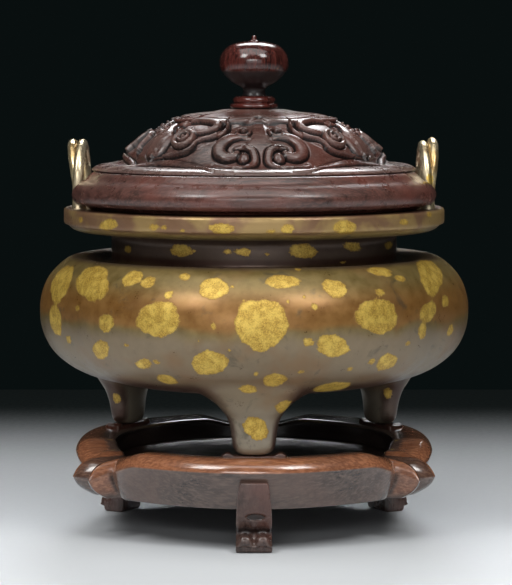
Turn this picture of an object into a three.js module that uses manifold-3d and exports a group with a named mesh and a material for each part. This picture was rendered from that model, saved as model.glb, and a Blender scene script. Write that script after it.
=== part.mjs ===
// Tripod incense burner: a cast bronze vessel with rope handles, a turned and carved hardwood lid with a knob finial,
// and a three-lobed hardwood stand. Millimetres, +Z up, the front lobe faces -Y, the handles stand at +X and -X.
// Outline numbers below are in drawing units; S turns one drawing unit into millimetres.
import * as THREE from 'three';
import { mergeVertices } from 'three/addons/utils/BufferGeometryUtils.js';
import Module from 'manifold-3d';

const wasm = await Module();
wasm.setup();

// ---------------------------------------------------------------- driving dimensions
const S = 0.4;               // mm per drawing unit
const AXIS_Y = 2.4;          // mm, the vertical axis of the vessel stands this far behind the origin
const GAP = 0.75;            // clearance between neighbouring pieces (0.3 mm)

const BODY_SEGMENTS = 48;    // facets round the vessel
const LID_SEGMENTS = 36;     // facets round the lid
const BODY_LOBE_OFFSET = 24; // centre of each lobe's arc from the axis
const BODY_LOBE_ARC = 194;   // radius of each lobe's arc; their sum is the widest radius
const RIM_TOP = 318;         // top of the lip
const RIM_RADIUS = 189;      // outer radius of the lip
const MOUTH_RADIUS = 132;    // bore of the neck

const LEG_SOLE = 91.75;      // underside of the bronze legs

const HANDLE_X = 174;        // distance of each handle's plane from the axis
const HANDLE_HALF = 33;      // half distance between the two legs of a handle loop
const HANDLE_SPRING = 346;   // height where the loop's arch begins
const HANDLE_TOP = 380;      // centre line height at the top of the loop
const HANDLE_FOOT = 309;     // lower end of the strands, inside their sockets in the lip
const HANDLE_LEAN = 0.01;    // outward lean of the loop
const STRAND_RADIUS = 4.8;   // each handle is two round strands that turn about each other
const STRAND_OFFSET = 5.2;   // distance of a strand's middle from the middle of the rope
const STRAND_SWING = [1.66, 0.25]; // how far the strands turn from the top of the loop to its front and rear foot
const STRAND_TOP = { left: 0, right: -0.3 }; // angle of the outer strand at the top of each loop

const FLANGE_NOTCH_X = 157;  // inner edge of the lid's handle notches
const FLANGE_NOTCH_Y = 46;   // half width of the notches
const PIN_RADIUS = 5;

const RAIL_TOP = 87.6;       // top of the stand's rail at the middle of a lobe
const RAIL_BOTTOM = 41;
const RAIL_INNER = 138;
const REBATE_INNER = 129;
const PANEL_TOP = 68;
const PANEL_THICK = 6.5;
const STAND_LEG_TOP = 68;
const SEAT_TOP = 91;

const rad = (d) => (d * Math.PI) / 180;

// ---------------------------------------------------------------- colours
const mat = {
  bronze: () => new THREE.MeshStandardMaterial({ color: 0x6a5433, roughness: 0.34, metalness: 0.9 }),
  brass: () => new THREE.MeshStandardMaterial({ color: 0x9a8048, roughness: 0.3, metalness: 0.95 }),
  lidWood: () => new THREE.MeshStandardMaterial({ color: 0x4a2a24, roughness: 0.32, metalness: 0.0 }),
  knobWood: () => new THREE.MeshStandardMaterial({ color: 0x55302b, roughness: 0.22, metalness: 0.0 }),
  standWood: () => new THREE.MeshStandardMaterial({ color: 0x3c211a, roughness: 0.25, metalness: 0.0 }),
  panelWood: () => new THREE.MeshStandardMaterial({ color: 0x2c1a16, roughness: 0.2, metalness: 0.0 }),
};

const group = new THREE.Group();
group.name = 'tripod_incense_burner';
group.scale.setScalar(1);
group.position.set(0, AXIS_Y, 0);

// ---------------------------------------------------------------- mesh helpers
// A closed solid from stations of points. wrapU joins the last station to the first; wrapV joins the last point of a
// station to its first. Where wrapU is false the end stations are capped.
function grid(stations, wrapU, wrapV, flip = false) {
  const nu = stations.length;
  const nv = stations[0].length;
  const pos = [];
  for (const st of stations) for (const p of st) pos.push(p[0] * S, p[1] * S, p[2] * S);
  const idx = [];
  const at = (i, j) => (i % nu) * nv + (j % nv);
  for (let i = 0; i < (wrapU ? nu : nu - 1); i++) {
    for (let j = 0; j < (wrapV ? nv : nv - 1); j++) {
      const a = at(i, j);
      const b = at(i + 1, j);
      const c = at(i + 1, j + 1);
      const d = at(i, j + 1);
      idx.push(a, b, c, a, c, d);
    }
  }
  return finish(pos, idx, flip);
}

function finish(pos, idx, flip) {
  let g = new THREE.BufferGeometry();
  g.setAttribute('position', new THREE.Float32BufferAttribute(pos, 3));
  g.setIndex(idx);
  g = mergeVertices(g, 1e-4);
  const ix = g.getIndex().array;
  const out = [];
  for (let t = 0; t < ix.length; t += 3) {
    const [a, b, c] = [ix[t], ix[t + 1], ix[t + 2]];
    if (a !== b && b !== c && a !== c) out.push(...(flip ? [a, c, b] : [a, b, c]));
  }
  g.setIndex(out);
  if (volume(g) < 0) {
    const f = [];
    for (let t = 0; t < out.length; t += 3) f.push(out[t], out[t + 2], out[t + 1]);
    g.setIndex(f);
  }
  return g;
}

function volume(g) {
  const p = g.getAttribute('position');
  const ix = g.getIndex().array;
  const a = new THREE.Vector3();
  const b = new THREE.Vector3();
  const c = new THREE.Vector3();
  let v = 0;
  for (let t = 0; t < ix.length; t += 3) {
    a.fromBufferAttribute(p, ix[t]);
    b.fromBufferAttribute(p, ix[t + 1]);
    c.fromBufferAttribute(p, ix[t + 2]);
    v += a.dot(b.cross(c));
  }
  return v / 6;
}

function clean(geometry) {
  let g = geometry.index ? geometry.clone() : geometry;
  for (const k of Object.keys(g.attributes)) if (k !== 'position') g.deleteAttribute(k);
  g = mergeVertices(g, 1e-4);
  return g;
}

function solid(geometry) {
  const g = clean(geometry);
  return new wasm.Manifold(
    new wasm.Mesh({
      numProp: 3,
      vertProperties: new Float32Array(g.getAttribute('position').array),
      triVerts: new Uint32Array(g.getIndex().array),
    })
  );
}

function fromSolid(m) {
  const mesh = m.getMesh();
  const g = new THREE.BufferGeometry();
  const n = mesh.numProp;
  const pos = [];
  for (let i = 0; i < mesh.vertProperties.length; i += n) {
    pos.push(mesh.vertProperties[i], mesh.vertProperties[i + 1], mesh.vertProperties[i + 2]);
  }
  g.setAttribute('position', new THREE.Float32BufferAttribute(pos, 3));
  g.setIndex(Array.from(mesh.triVerts));
  return g;
}

function add(name, geometry, material) {
  geometry.computeVertexNormals();
  const mesh = new THREE.Mesh(geometry, material);
  mesh.name = name;
  group.add(mesh);
  return mesh;
}

// Azimuth 0 is the front (-Y) and grows towards +X.
const polar = (r, az, z) => [r * Math.sin(az), -r * Math.cos(az), z];

function lathe(profile, segments, closed) {
  // profile: [r, z] pairs; closed profiles make a ring, open ones start and end on the axis
  const st = [];
  for (let i = 0; i < segments; i++) {
    const az = (i / segments) * Math.PI * 2;
    st.push(profile.map(([r, z]) => polar(r, az, z)));
  }
  return grid(st, true, closed);
}

// Box in drawing units.
function box(x0, x1, y0, y1, z0, z1) {
  const g = new THREE.BoxGeometry((x1 - x0) * S, (y1 - y0) * S, (z1 - z0) * S);
  g.translate(((x0 + x1) / 2) * S, ((y0 + y1) / 2) * S, ((z0 + z1) / 2) * S);
  return g;
}

function turned(geometry, deg) {
  const g = geometry.clone();
  g.rotateZ(rad(deg));
  return g;
}

// Angle from the middle of the nearest of the three lobes, in radians, -60..60 degrees.
function lobeAngle(az) {
  const third = (Math.PI * 2) / 3;
  return az - third * Math.round(az / third);
}

const arcLobe = (a, offset, arc) => offset * Math.cos(a) + Math.sqrt(arc * arc - (offset * Math.sin(a)) ** 2);

// ---------------------------------------------------------------- bronze vessel
// [radius at a lobe's middle, height, how strongly the three lobes show (0..1)]
const OUTSIDE = [
  [0, 143, 0], [70, 143.4, 0.5], [120, 145, 1], [150, 148, 1], [174, 154.5, 1], [193, 165, 1], [207, 178.5, 1],
  [215.5, 196, 1], [218, 215, 1], [214.5, 234, 0.8], [206, 250, 0.5], [191, 264, 0.2], [176, 270.5, 0], [166, 268.5, 0],
  [150, 265, 0], [142, 272, 0], [142, 291, 0], [147, 296.5, 0], [178, 298, 0], [187.5, 302, 0], [RIM_RADIUS, 306, 0],
  [RIM_RADIUS, 315.5, 0], [187, RIM_TOP, 0],
];
const INSIDE = [
  [134, RIM_TOP, 0], [MOUTH_RADIUS, 315.5, 0], [MOUTH_RADIUS, 258, 0], [164, 254, 0.1], [190, 248, 0.5],
  [206, 228, 0.9], [208, 206, 1], [200, 184, 1], [180, 165.5, 1], [150, 156.5, 1], [105, 153, 0.9], [0, 152, 0],
];

function bodyRadius(r, f, az) {
  const full = BODY_LOBE_OFFSET + BODY_LOBE_ARC;
  const dip = 1 - arcLobe(lobeAngle(az), BODY_LOBE_OFFSET, BODY_LOBE_ARC) / full;
  return r * (1 - f * dip);
}

function bodyShell(profile, segments = BODY_SEGMENTS) {
  const st = [];
  for (let i = 0; i < segments; i++) {
    const az = (i / segments) * Math.PI * 2;
    st.push(profile.map(([r, z, f]) => polar(bodyRadius(r, f, az), az, z)));
  }
  return grid(st, true, false);
}

// ---------------------------------------------------------------- rope handles
// The strands lie side by side over the top and down the rear leg, and one behind the other at the front foot.
function strandAngle(phase, w) {
  const t = Math.min(Math.max((w - 0.4) / 0.25, 0), 1);
  const swing = STRAND_SWING[0] + (STRAND_SWING[1] - STRAND_SWING[0]) * t * t * (3 - 2 * t);
  return phase + swing * Math.sin(Math.PI * (0.5 - w));
}

// Centre line of one loop in the plane of the handle: t from 0 to 1 runs from the front foot over the top to the back.
class StrandCurve extends THREE.Curve {
  constructor(side, phase, foot) {
    super();
    this.side = side;
    this.phase = phase;
    this.foot = foot;
    this.straight = HANDLE_SPRING - foot;
    this.arch = Math.PI * Math.sqrt((HANDLE_HALF ** 2 + (HANDLE_TOP - HANDLE_SPRING) ** 2) / 2);
    this.total = 2 * this.straight + this.arch;
  }

  centre(s) {
    if (s <= this.straight) return { y: -HANDLE_HALF, z: this.foot + s, ty: 0, tz: 1 };
    if (s >= this.straight + this.arch) {
      return { y: HANDLE_HALF, z: HANDLE_SPRING - (s - this.straight - this.arch), ty: 0, tz: -1 };
    }
    const u = ((s - this.straight) / this.arch) * Math.PI;
    const rise = HANDLE_TOP - HANDLE_SPRING;
    const ty = HANDLE_HALF * Math.sin(u);
    const tz = rise * Math.cos(u);
    const l = Math.hypot(ty, tz);
    return { y: -HANDLE_HALF * Math.cos(u), z: HANDLE_SPRING + rise * Math.sin(u), ty: ty / l, tz: tz / l };
  }

  getPoint(t, target = new THREE.Vector3()) {
    const s = t * this.total;
    const c = this.centre(s);
    // the strands lie side by side in their sockets, and wind round each other above the lip
    const lip = RIM_TOP - this.foot;
    const w = Math.min(Math.max((s - lip) / (this.total - 2 * lip), 0), 1);
    const a = strandAngle(this.phase, w);
    const nx = Math.cos(a) * STRAND_OFFSET;
    const nn = Math.sin(a) * STRAND_OFFSET;
    const x = HANDLE_X + Math.max(0, c.z - RIM_TOP) * HANDLE_LEAN + nx;
    return target.set(this.side * x * S, (c.y + nn * c.tz) * S, (c.z - nn * c.ty) * S);
  }
}

function strand(side, phase, radius = STRAND_RADIUS, foot = HANDLE_FOOT, steps = 26) {
  const shape = new THREE.Shape();
  const n = 8;
  for (let i = 0; i <= n; i++) {
    const a = (i / n) * Math.PI * 2;
    const x = Math.cos(a) * radius * S;
    const y = Math.sin(a) * radius * S;
    if (i === 0) shape.moveTo(x, y);
    else if (i < n) shape.lineTo(x, y);
  }
  const g = new THREE.ExtrudeGeometry(shape, { steps, bevelEnabled: false, extrudePath: new StrandCurve(side, phase, foot) });
  const c = clean(g);
  if (volume(c) < 0) {
    const ix = Array.from(c.getIndex().array);
    for (let t = 0; t < ix.length; t += 3) [ix[t + 1], ix[t + 2]] = [ix[t + 2], ix[t + 1]];
    c.setIndex(ix);
  }
  return c;
}

// Sockets in the lip: two holes side by side under each foot of a loop.
function sockets() {
  const out = [];
  for (const side of [-1, 1]) {
    const top = side < 0 ? STRAND_TOP.left : STRAND_TOP.right;
    for (const phase of [top, top + Math.PI]) {
      const curve = new StrandCurve(side, phase, HANDLE_FOOT);
      for (const t of [0, 1]) {
        const foot = curve.getPoint(t);
        const depth = RIM_TOP + 4 - (HANDLE_FOOT - GAP);
        const radius = (STRAND_RADIUS + GAP) * S * 1.04;
        const g = new THREE.CylinderGeometry(radius, radius, depth * S, 10);
        g.rotateX(Math.PI / 2);
        g.translate(foot.x, foot.y, (HANDLE_FOOT - GAP + depth / 2) * S);
        out.push(g);
      }
    }
  }
  return out;
}

let bodySolid = solid(bodyShell([...OUTSIDE, ...INSIDE]));
for (const g of sockets()) bodySolid = bodySolid.subtract(solid(g));
add('censer_body', fromSolid(bodySolid), mat.bronze());

for (const [sideName, side] of [['left', -1], ['right', 1]]) {
  add(`handle_${sideName}_strand_outer`, strand(side, STRAND_TOP[sideName]), mat.brass());
  add(`handle_${sideName}_strand_inner`, strand(side, STRAND_TOP[sideName] + Math.PI), mat.brass());
}

// ---------------------------------------------------------------- bronze legs
// [height, half width across, half depth, radius of the section's centre]
const LEG = [
  [LEG_SOLE, 12.5, 8.5, 150], [94, 16.5, 11.5, 150], [98, 19.8, 13.6, 150], [106, 21, 14.6, 150.2], [116, 22.3, 16, 150.8],
  [126, 26, 19.5, 151.5], [134, 31, 24, 151.5], [141, 39, 29, 149], [148, 50, 34, 146], [156, 60, 38, 145],
];
const bellyOffset = OUTSIDE.slice(0, 9).map(([r, z, f]) => [r === 0 ? 0 : r + 0.45, z - GAP, f]);
const bellyPlug = solid(bodyShell([...bellyOffset, [218, 240, 1], [0, 240, 0]]));
for (const [name, deg] of [['front', 0], ['right', 120], ['left', -120]]) {
  const st = LEG.map(([z, a, b, c]) => {
    const ring = [];
    const n = 14;
    for (let i = 0; i < n; i++) {
      const u = (i / n) * Math.PI * 2;
      const e = 0.88;
      const cx = Math.sign(Math.cos(u)) * Math.abs(Math.cos(u)) ** e;
      const sy = Math.sign(Math.sin(u)) * Math.abs(Math.sin(u)) ** e;
      ring.push([a * cx, -c + b * sy, z]);
    }
    return ring;
  });
  const first = st[0];
  const last = st[st.length - 1];
  st.unshift(first.map(() => [0, -LEG[0][3], LEG_SOLE]));
  st.push(last.map(() => [0, -LEG[LEG.length - 1][3], last[0][2]]));
  const leg = turned(grid(st, false, true), deg);
  add(`censer_leg_${name}`, fromSolid(solid(leg).subtract(bellyPlug)), mat.bronze());
}

// ---------------------------------------------------------------- lid
const FLANGE = [
  [118, 306], [126.5, 306], [128.5, 309], [128.5, 318.75], [168, 318.75], [170, 321], [172, 323.5], [178, 324.5],
  [182.5, 328], [184, 333], [182.5, 340], [177.5, 346], [170, 350.3], [165, 352.3], [161.5, 351.8], [158.5, 348.6],
  [120, 348.6], [118, 346.5],
];
let flange = solid(lathe(FLANGE, BODY_SEGMENTS, true));
for (const side of [-1, 1]) {
  const x0 = side < 0 ? -230 : FLANGE_NOTCH_X;
  const x1 = side < 0 ? -FLANGE_NOTCH_X : 230;
  flange = flange.subtract(solid(box(x0, x1, -FLANGE_NOTCH_Y, FLANGE_NOTCH_Y, 300, 360)));
}
add('lid_flange', fromSolid(flange), mat.lidWood());

const DOME = [
  [157.5, 352.6], [161.5, 355.8], [159, 358.4], [146, 363.3], [136.5, 367.5], [128.5, 375], [117, 387.5], [103, 398.2],
  [86, 407.2], [66, 412.6], [40, 415], [5.75, 415.4],
  [5.75, 407.5], [48, 406.8], [72, 402.6], [94, 392], [110, 378], [120, 366], [143, 355], [143, 349.5], [155.5, 349.5],
];
add('lid_dome', lathe(DOME, LID_SEGMENTS, true), mat.lidWood());

const COLLAR = [
  [5.75, 416.2], [22.5, 416.2], [23.6, 418], [22.4, 420], [19.4, 420.9], [20.7, 423], [20.2, 425.8], [17.6, 427.6],
  [5.75, 427.6],
];
add('finial_collar', lathe(COLLAR, 20, true), mat.knobWood());

const KNOB = [
  [5.75, 428.4], [11.8, 428.4], [10.7, 432.6], [11.6, 436], [16, 438.8], [21, 441.4], [25.4, 445.4], [30, 450.4],
  [33, 455.2], [33.9, 460.4], [33.4, 465.6], [31.4, 470.4], [27.6, 475], [22.4, 478.4], [15, 480.6], [8.6, 481.4], [5.75, 481.2],
];
add('finial_knob', lathe(KNOB, 20, true), mat.knobWood());

// The pin holds knob, collar and dome together: a head under the dome, and a small nipple on top.
const PIN = [
  [0, 398.5], [9, 398.5], [11, 401], [11, 404.5], [PIN_RADIUS, 406.7], [PIN_RADIUS, 481], [4.6, 482.2], [2.4, 483.6],
  [2.1, 486.4], [1.2, 487.4], [0, 487.6],
];
add('finial_pin', lathe(PIN, 12, false), mat.knobWood());

// ---------------------------------------------------------------- stand
const smooth = (t) => t * t * (3 - 2 * t);
// Widest line of the rail: a broad lobe, a valley, then a pointed ear beside each joint.
const VALLEY = 50.5;
const CREST = 54.5;
function keelRadius(deg) {
  const d = Math.abs(deg);
  if (d <= 30) return 180.5 - 2.5 * smooth(d / 30);
  if (d <= 46) return 178 + 1.6 * smooth((d - 30) / 16);
  if (d <= VALLEY) return 179.6 - 3.6 * ((d - 46) / (VALLEY - 46)) ** 2;
  if (d <= CREST) return 176 + 19.5 * ((d - VALLEY) / (CREST - VALLEY)) ** 1.1;
  return 182 + 13.5 * (1 - ((d - CREST) / (60 - CREST)) ** 1.6);
}

// Sections of the rail as steps [outwards, up] from its widest line: three below it, from the bottom edge, and four above.
const SECTIONS = [
  { at: 38, keel: 77.2, top: RAIL_TOP, inner: 141,
    low: [[-14.5, -36.2], [-9.3, -25], [-4.4, -12.5]], high: [[-1.2, 2.6], [-6, 6.6], [-14, 9.3], [-26, 10.3]] },
  { at: VALLEY, keel: 67.5, top: 81, inner: 141,
    low: [[-12.5, -26.5], [-6.5, -17.5], [-2.5, -8.5]], high: [[-1.5, 4], [-4.5, 8.2], [-8, 11.2], [-14, 13.2]] },
  { at: CREST, keel: 59.8, top: 77, inner: 141,
    low: [[-21, -18.8], [-9, -12], [-3.5, -6.5]], high: [[-4, 7], [-9, 12], [-15, 15.2], [-21, 17]] },
  { at: 60, keel: 59, top: 74, inner: 141,
    low: [[-13, -18], [-7, -12], [-2.5, -6]], high: [[-1.8, 5], [-5, 9.5], [-9, 13], [-15, 14.8]] },
];

function railSection(deg) {
  const d = Math.min(Math.max(Math.abs(deg), SECTIONS[0].at), 60);
  let k = 0;
  while (k < SECTIONS.length - 2 && d > SECTIONS[k + 1].at) k++;
  const [s, e] = [SECTIONS[k], SECTIONS[k + 1]];
  let t = (d - s.at) / (e.at - s.at);
  if (k === 0) t = smooth(t);
  const mix = (a, b) => a + (b - a) * t;
  const rk = keelRadius(deg);
  const zk = mix(s.keel, e.keel);
  const zt = mix(s.top, e.top);
  const step = (p, q) => [rk + mix(p[0], q[0]), zk + mix(p[1], q[1])];
  const low = s.low.map((p, i) => step(p, e.low[i]));
  const high = s.high.map((p, i) => step(p, e.high[i]));
  low[0][1] = RAIL_BOTTOM;
  return [
    ...low,
    [rk, zk],
    ...high,
    [RAIL_INNER + 3, zt],
    [RAIL_INNER, zt - 3],
    [RAIL_INNER, PANEL_TOP - PANEL_THICK - GAP],
    [REBATE_INNER, PANEL_TOP - PANEL_THICK - GAP],
    [REBATE_INNER, 53],
    [138, 45],
    [148, RAIL_BOTTOM],
  ];
}

const ANGLES = [];
for (const d of [0, 12, 24, 34, 42, 46, 48.5, 50.5, 52.5, 54.5, 55.8, 57.8, 59.88]) ANGLES.push(d);
const STATIONS = [...ANGLES.slice(1).reverse().map((d) => -d), ...ANGLES];

// Triangles that fill an outline, each running the same way round as the outline.
function capFaces(pts) {
  const turn = (a, b, c) => (pts[b].x - pts[a].x) * (pts[c].y - pts[a].y) - (pts[b].y - pts[a].y) * (pts[c].x - pts[a].x);
  const whole = Math.sign(THREE.ShapeUtils.area(pts));
  return THREE.ShapeUtils.triangulateShape(pts, []).map(([a, b, c]) => (Math.sign(turn(a, b, c)) === whole ? [a, b, c] : [a, c, b]));
}

function railSegment() {
  const st = STATIONS.map((d) => railSection(d).map(([r, z]) => polar(r, rad(d), z)));
  const K = st[0].length;
  const pos = [];
  for (const s of st) for (const p of s) pos.push(p[0] * S, p[1] * S, p[2] * S);
  const idx = [];
  for (let i = 0; i < st.length - 1; i++) {
    for (let j = 0; j < K; j++) {
      const a = i * K + j;
      const b = (i + 1) * K + j;
      const c = (i + 1) * K + ((j + 1) % K);
      const d = i * K + ((j + 1) % K);
      idx.push(a, b, c, a, c, d);
    }
  }
  for (const i of [0, st.length - 1]) {
    const pts = railSection(STATIONS[i]).map(([r, z]) => new THREE.Vector2(r, z));
    for (const [a, b, c] of capFaces(pts)) {
      if (i === 0) idx.push(i * K + a, i * K + b, i * K + c);
      else idx.push(i * K + a, i * K + c, i * K + b);
    }
  }
  return finish(pos, idx, false);
}

// Side view of a stand leg, [distance from the axis, height]: the upper part is housed in the rail, the foot turns up.
const STAND_LEG = [
  [182.5, STAND_LEG_TOP], [181.5, 60], [177, 48], [171, 36], [165.3, 26], [161.8, 20], [162.4, 17], [165.5, 15.8],
  [170, 16.6], [173.6, 15.6], [175.4, 12], [175, 7.6], [172.5, 3.6], [170, 2.6], [167, 0], [148, 0], [146, 3], [146, 12],
  [148.5, 26], [151, 40], [154, 54], [156, STAND_LEG_TOP],
];
function standLeg(grow) {
  // grow > 0 makes the housing cut, which is larger than the leg by the clearance
  let pts = STAND_LEG.map(([r, z]) => new THREE.Vector2(r, z));
  if (grow) {
    const n = pts.length;
    pts = pts.map((p, i) => {
      const a = pts[(i + n - 1) % n];
      const b = pts[(i + 1) % n];
      const t = new THREE.Vector2().subVectors(b, a).normalize();
      const s = THREE.ShapeUtils.isClockWise(pts) ? 1 : -1;
      return new THREE.Vector2(p.x - s * t.y * grow * 1.2, p.y + s * t.x * grow * 1.2);
    });
  }
  const faces = capFaces(pts);
  const half = (z) => 13.2 + (5.6 * (STAND_LEG_TOP - z)) / STAND_LEG_TOP + grow;
  const pos = [];
  for (const side of [-1, 1]) for (const p of pts) pos.push(side * half(p.y) * S, -p.x * S, p.y * S);
  const n = pts.length;
  const idx = [];
  for (const [a, b, c] of faces) {
    idx.push(a, b, c);
    idx.push(n + a, n + c, n + b);
  }
  for (let i = 0; i < n; i++) {
    const j = (i + 1) % n;
    idx.push(i, n + i, n + j, i, n + j, j);
  }
  return finish(pos, idx, false);
}

// Loose tongue hidden in the joint between two rail segments.
const TONGUE = { r0: 146, r1: 164, half: 13, z0: 47, z1: 57 };
const tongueBox = (g) =>
  box(-TONGUE.half - g, TONGUE.half + g, -TONGUE.r1 - g, -TONGUE.r0 + g, TONGUE.z0 - g, TONGUE.z1 + g);

const LOBES = [['front', 0], ['right', 120], ['left', -120]];
const railBase = solid(railSegment());
for (const [name, deg] of LOBES) {
  let m = railBase.subtract(solid(standLeg(GAP)));
  for (const side of [-60, 60]) m = m.subtract(solid(turned(tongueBox(GAP), side)));
  add(`stand_rail_${name}`, turned(fromSolid(m), deg), mat.standWood());
}
for (const [name, deg] of LOBES) add(`stand_leg_${name}`, turned(standLeg(0), deg), mat.standWood());
for (const [name, deg] of [['right', 60], ['back', 180], ['left', -60]]) {
  add(`stand_tongue_${name}`, turned(clean(tongueBox(0)), deg), mat.standWood());
}

// Raised seats on the rail, one under each foot of the vessel.
function seat() {
  const shape = new THREE.Shape();
  const [w, r0, r1, c] = [33, 141.5, 167, 8];
  const y = (x, r) => -Math.sqrt(r * r - x * x);
  const outer = [];
  const inner = [];
  for (let i = -4; i <= 4; i++) {
    const x = (i / 4) * (w - c);
    outer.push([x, y(x, r1)]);
    inner.push([x, y(x, r0)]);
  }
  const ring = [...outer, [w - 2, y(w - 2, r1 - 5)], [w, y(w, 154)], [w - 2, y(w - 2, r0 + 5)], ...inner.reverse(),
    [-(w - 2), y(w - 2, r0 + 5)], [-w, y(w, 154)], [-(w - 2), y(w - 2, r1 - 5)]];
  ring.forEach(([px, py], i) => (i ? shape.lineTo(px * S, py * S) : shape.moveTo(px * S, py * S)));
  const g = new THREE.ExtrudeGeometry(shape, { depth: (SEAT_TOP - RAIL_TOP - GAP) * S, bevelEnabled: false, steps: 1 });
  g.translate(0, 0, (RAIL_TOP + GAP) * S);
  return clean(g);
}
for (const [name, deg] of LOBES) add(`stand_seat_${name}`, turned(seat(), deg), mat.standWood());

// Floor panel, dropped onto the rebate inside the rail.
add(
  'stand_floor_panel',
  lathe([[0, PANEL_TOP - PANEL_THICK], [RAIL_INNER - GAP - 0.3, PANEL_TOP - PANEL_THICK], [RAIL_INNER - GAP - 0.3, PANEL_TOP - 1],
    [RAIL_INNER - 2.2, PANEL_TOP], [0, PANEL_TOP]], BODY_SEGMENTS, false),
  mat.panelWood()
);

export default group;
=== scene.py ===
"""Looks of the tripod incense burner: bronze vessel with gold splashes, rope handles, carved lid, lobed stand.

Outline numbers are in drawing units of 0.4 mm. Azimuth 0 is the front (-Y) and runs towards +X.
"""
import math
import bpy
import bmesh
import numpy as np
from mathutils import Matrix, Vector


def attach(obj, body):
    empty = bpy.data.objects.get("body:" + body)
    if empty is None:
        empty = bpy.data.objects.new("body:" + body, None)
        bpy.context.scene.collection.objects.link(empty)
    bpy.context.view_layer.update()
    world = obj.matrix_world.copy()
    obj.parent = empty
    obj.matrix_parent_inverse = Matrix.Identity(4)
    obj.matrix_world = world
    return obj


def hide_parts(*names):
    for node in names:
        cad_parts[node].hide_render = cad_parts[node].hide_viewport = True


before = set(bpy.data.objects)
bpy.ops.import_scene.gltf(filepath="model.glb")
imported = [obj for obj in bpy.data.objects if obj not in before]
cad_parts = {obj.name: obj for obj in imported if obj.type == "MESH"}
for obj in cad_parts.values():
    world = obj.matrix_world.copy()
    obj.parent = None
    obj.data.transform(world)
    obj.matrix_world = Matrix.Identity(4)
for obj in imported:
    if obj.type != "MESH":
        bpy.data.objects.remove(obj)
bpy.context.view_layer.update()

UNIT = 0.0004      # metres per drawing unit
AXIS_Y = 0.0024    # metres, the vessel's axis behind the origin
RAD = math.pi / 180


# ------------------------------------------------------------------ mesh helpers
def metres(points):
    q = np.asarray(points, float) * UNIT
    q[:, 1] += AXIS_Y
    return q


def volume(v, faces):
    total = 0.0
    for f in faces:
        a = v[f[:, 0]]
        for k in range(1, f.shape[1] - 1):
            total += np.einsum("ij,ij->i", a, np.cross(v[f[:, k]], v[f[:, k + 1]])).sum()
    return total


def build(name, verts, faces, sharp=None):
    """One closed mesh object from points in drawing units and arrays of faces, with its faces pointing out."""
    verts = np.asarray(verts, float)
    faces = [np.asarray(f, np.int64) for f in faces if len(f)]
    if volume(verts, faces) < 0:
        faces = [f[:, ::-1] for f in faces]
    me = bpy.data.meshes.new(name)
    me.vertices.add(len(verts))
    me.vertices.foreach_set("co", metres(verts).astype(np.float32).ravel())
    loops = np.concatenate([f.ravel() for f in faces]).astype(np.int32)
    counts = np.concatenate([np.full(len(f), f.shape[1]) for f in faces])
    starts = np.concatenate([[0], np.cumsum(counts)[:-1]]).astype(np.int32)
    me.loops.add(len(loops))
    me.loops.foreach_set("vertex_index", loops)
    me.polygons.add(len(counts))
    me.polygons.foreach_set("loop_start", starts)
    me.polygons.foreach_set("use_smooth", np.ones(len(counts), bool))
    me.update(calc_edges=True)
    me.validate()
    if sharp:
        me.set_sharp_from_angle(angle=sharp * RAD)
    ob = bpy.data.objects.new(name, me)
    bpy.context.scene.collection.objects.link(ob)
    return ob


def catmull(pts, per):
    """Centripetal curve through pts, with per steps in each span."""
    p = np.asarray(pts, float)
    if len(p) == 2:
        t = np.linspace(0, 1, per + 1)[:, None]
        return p[0] * (1 - t) + p[1] * t
    ext = np.vstack([2 * p[0] - p[1], p, 2 * p[-1] - p[-2]])
    out = [p[:1]]
    for i in range(1, len(ext) - 2):
        a, b, c, d = ext[i - 1:i + 3]
        ka = max(np.linalg.norm(b - a), 1e-6) ** 0.5
        kb = max(np.linalg.norm(c - b), 1e-6) ** 0.5
        kc = max(np.linalg.norm(d - c), 1e-6) ** 0.5
        t0, t1, t2, t3 = 0, ka, ka + kb, ka + kb + kc
        t = np.linspace(t1, t2, per + 1)[1:, None]
        a1 = (t1 - t) / (t1 - t0) * a + (t - t0) / (t1 - t0) * b
        a2 = (t2 - t) / (t2 - t1) * b + (t - t1) / (t2 - t1) * c
        a3 = (t3 - t) / (t3 - t2) * c + (t - t2) / (t3 - t2) * d
        b1 = (t2 - t) / (t2 - t0) * a1 + (t - t0) / (t2 - t0) * a2
        b2 = (t3 - t) / (t3 - t1) * a2 + (t - t1) / (t3 - t1) * a3
        out.append((t2 - t) / (t2 - t1) * b1 + (t - t1) / (t2 - t1) * b2)
    return np.vstack(out)


def arclength(p):
    return np.concatenate([[0], np.cumsum(np.linalg.norm(np.diff(p[:, :2], axis=0), axis=1))])


def trim(p, a, b):
    s = arclength(p)
    a, b = min(a, s[-1] * 0.45), min(b, s[-1] * 0.45)
    t = np.linspace(a, s[-1] - b, len(p))
    # keeps the spacing of the points that it was given
    t = a + (s / s[-1]) * (s[-1] - a - b)
    return np.column_stack([np.interp(t, s, p[:, k]) for k in range(p.shape[1])])


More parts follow.
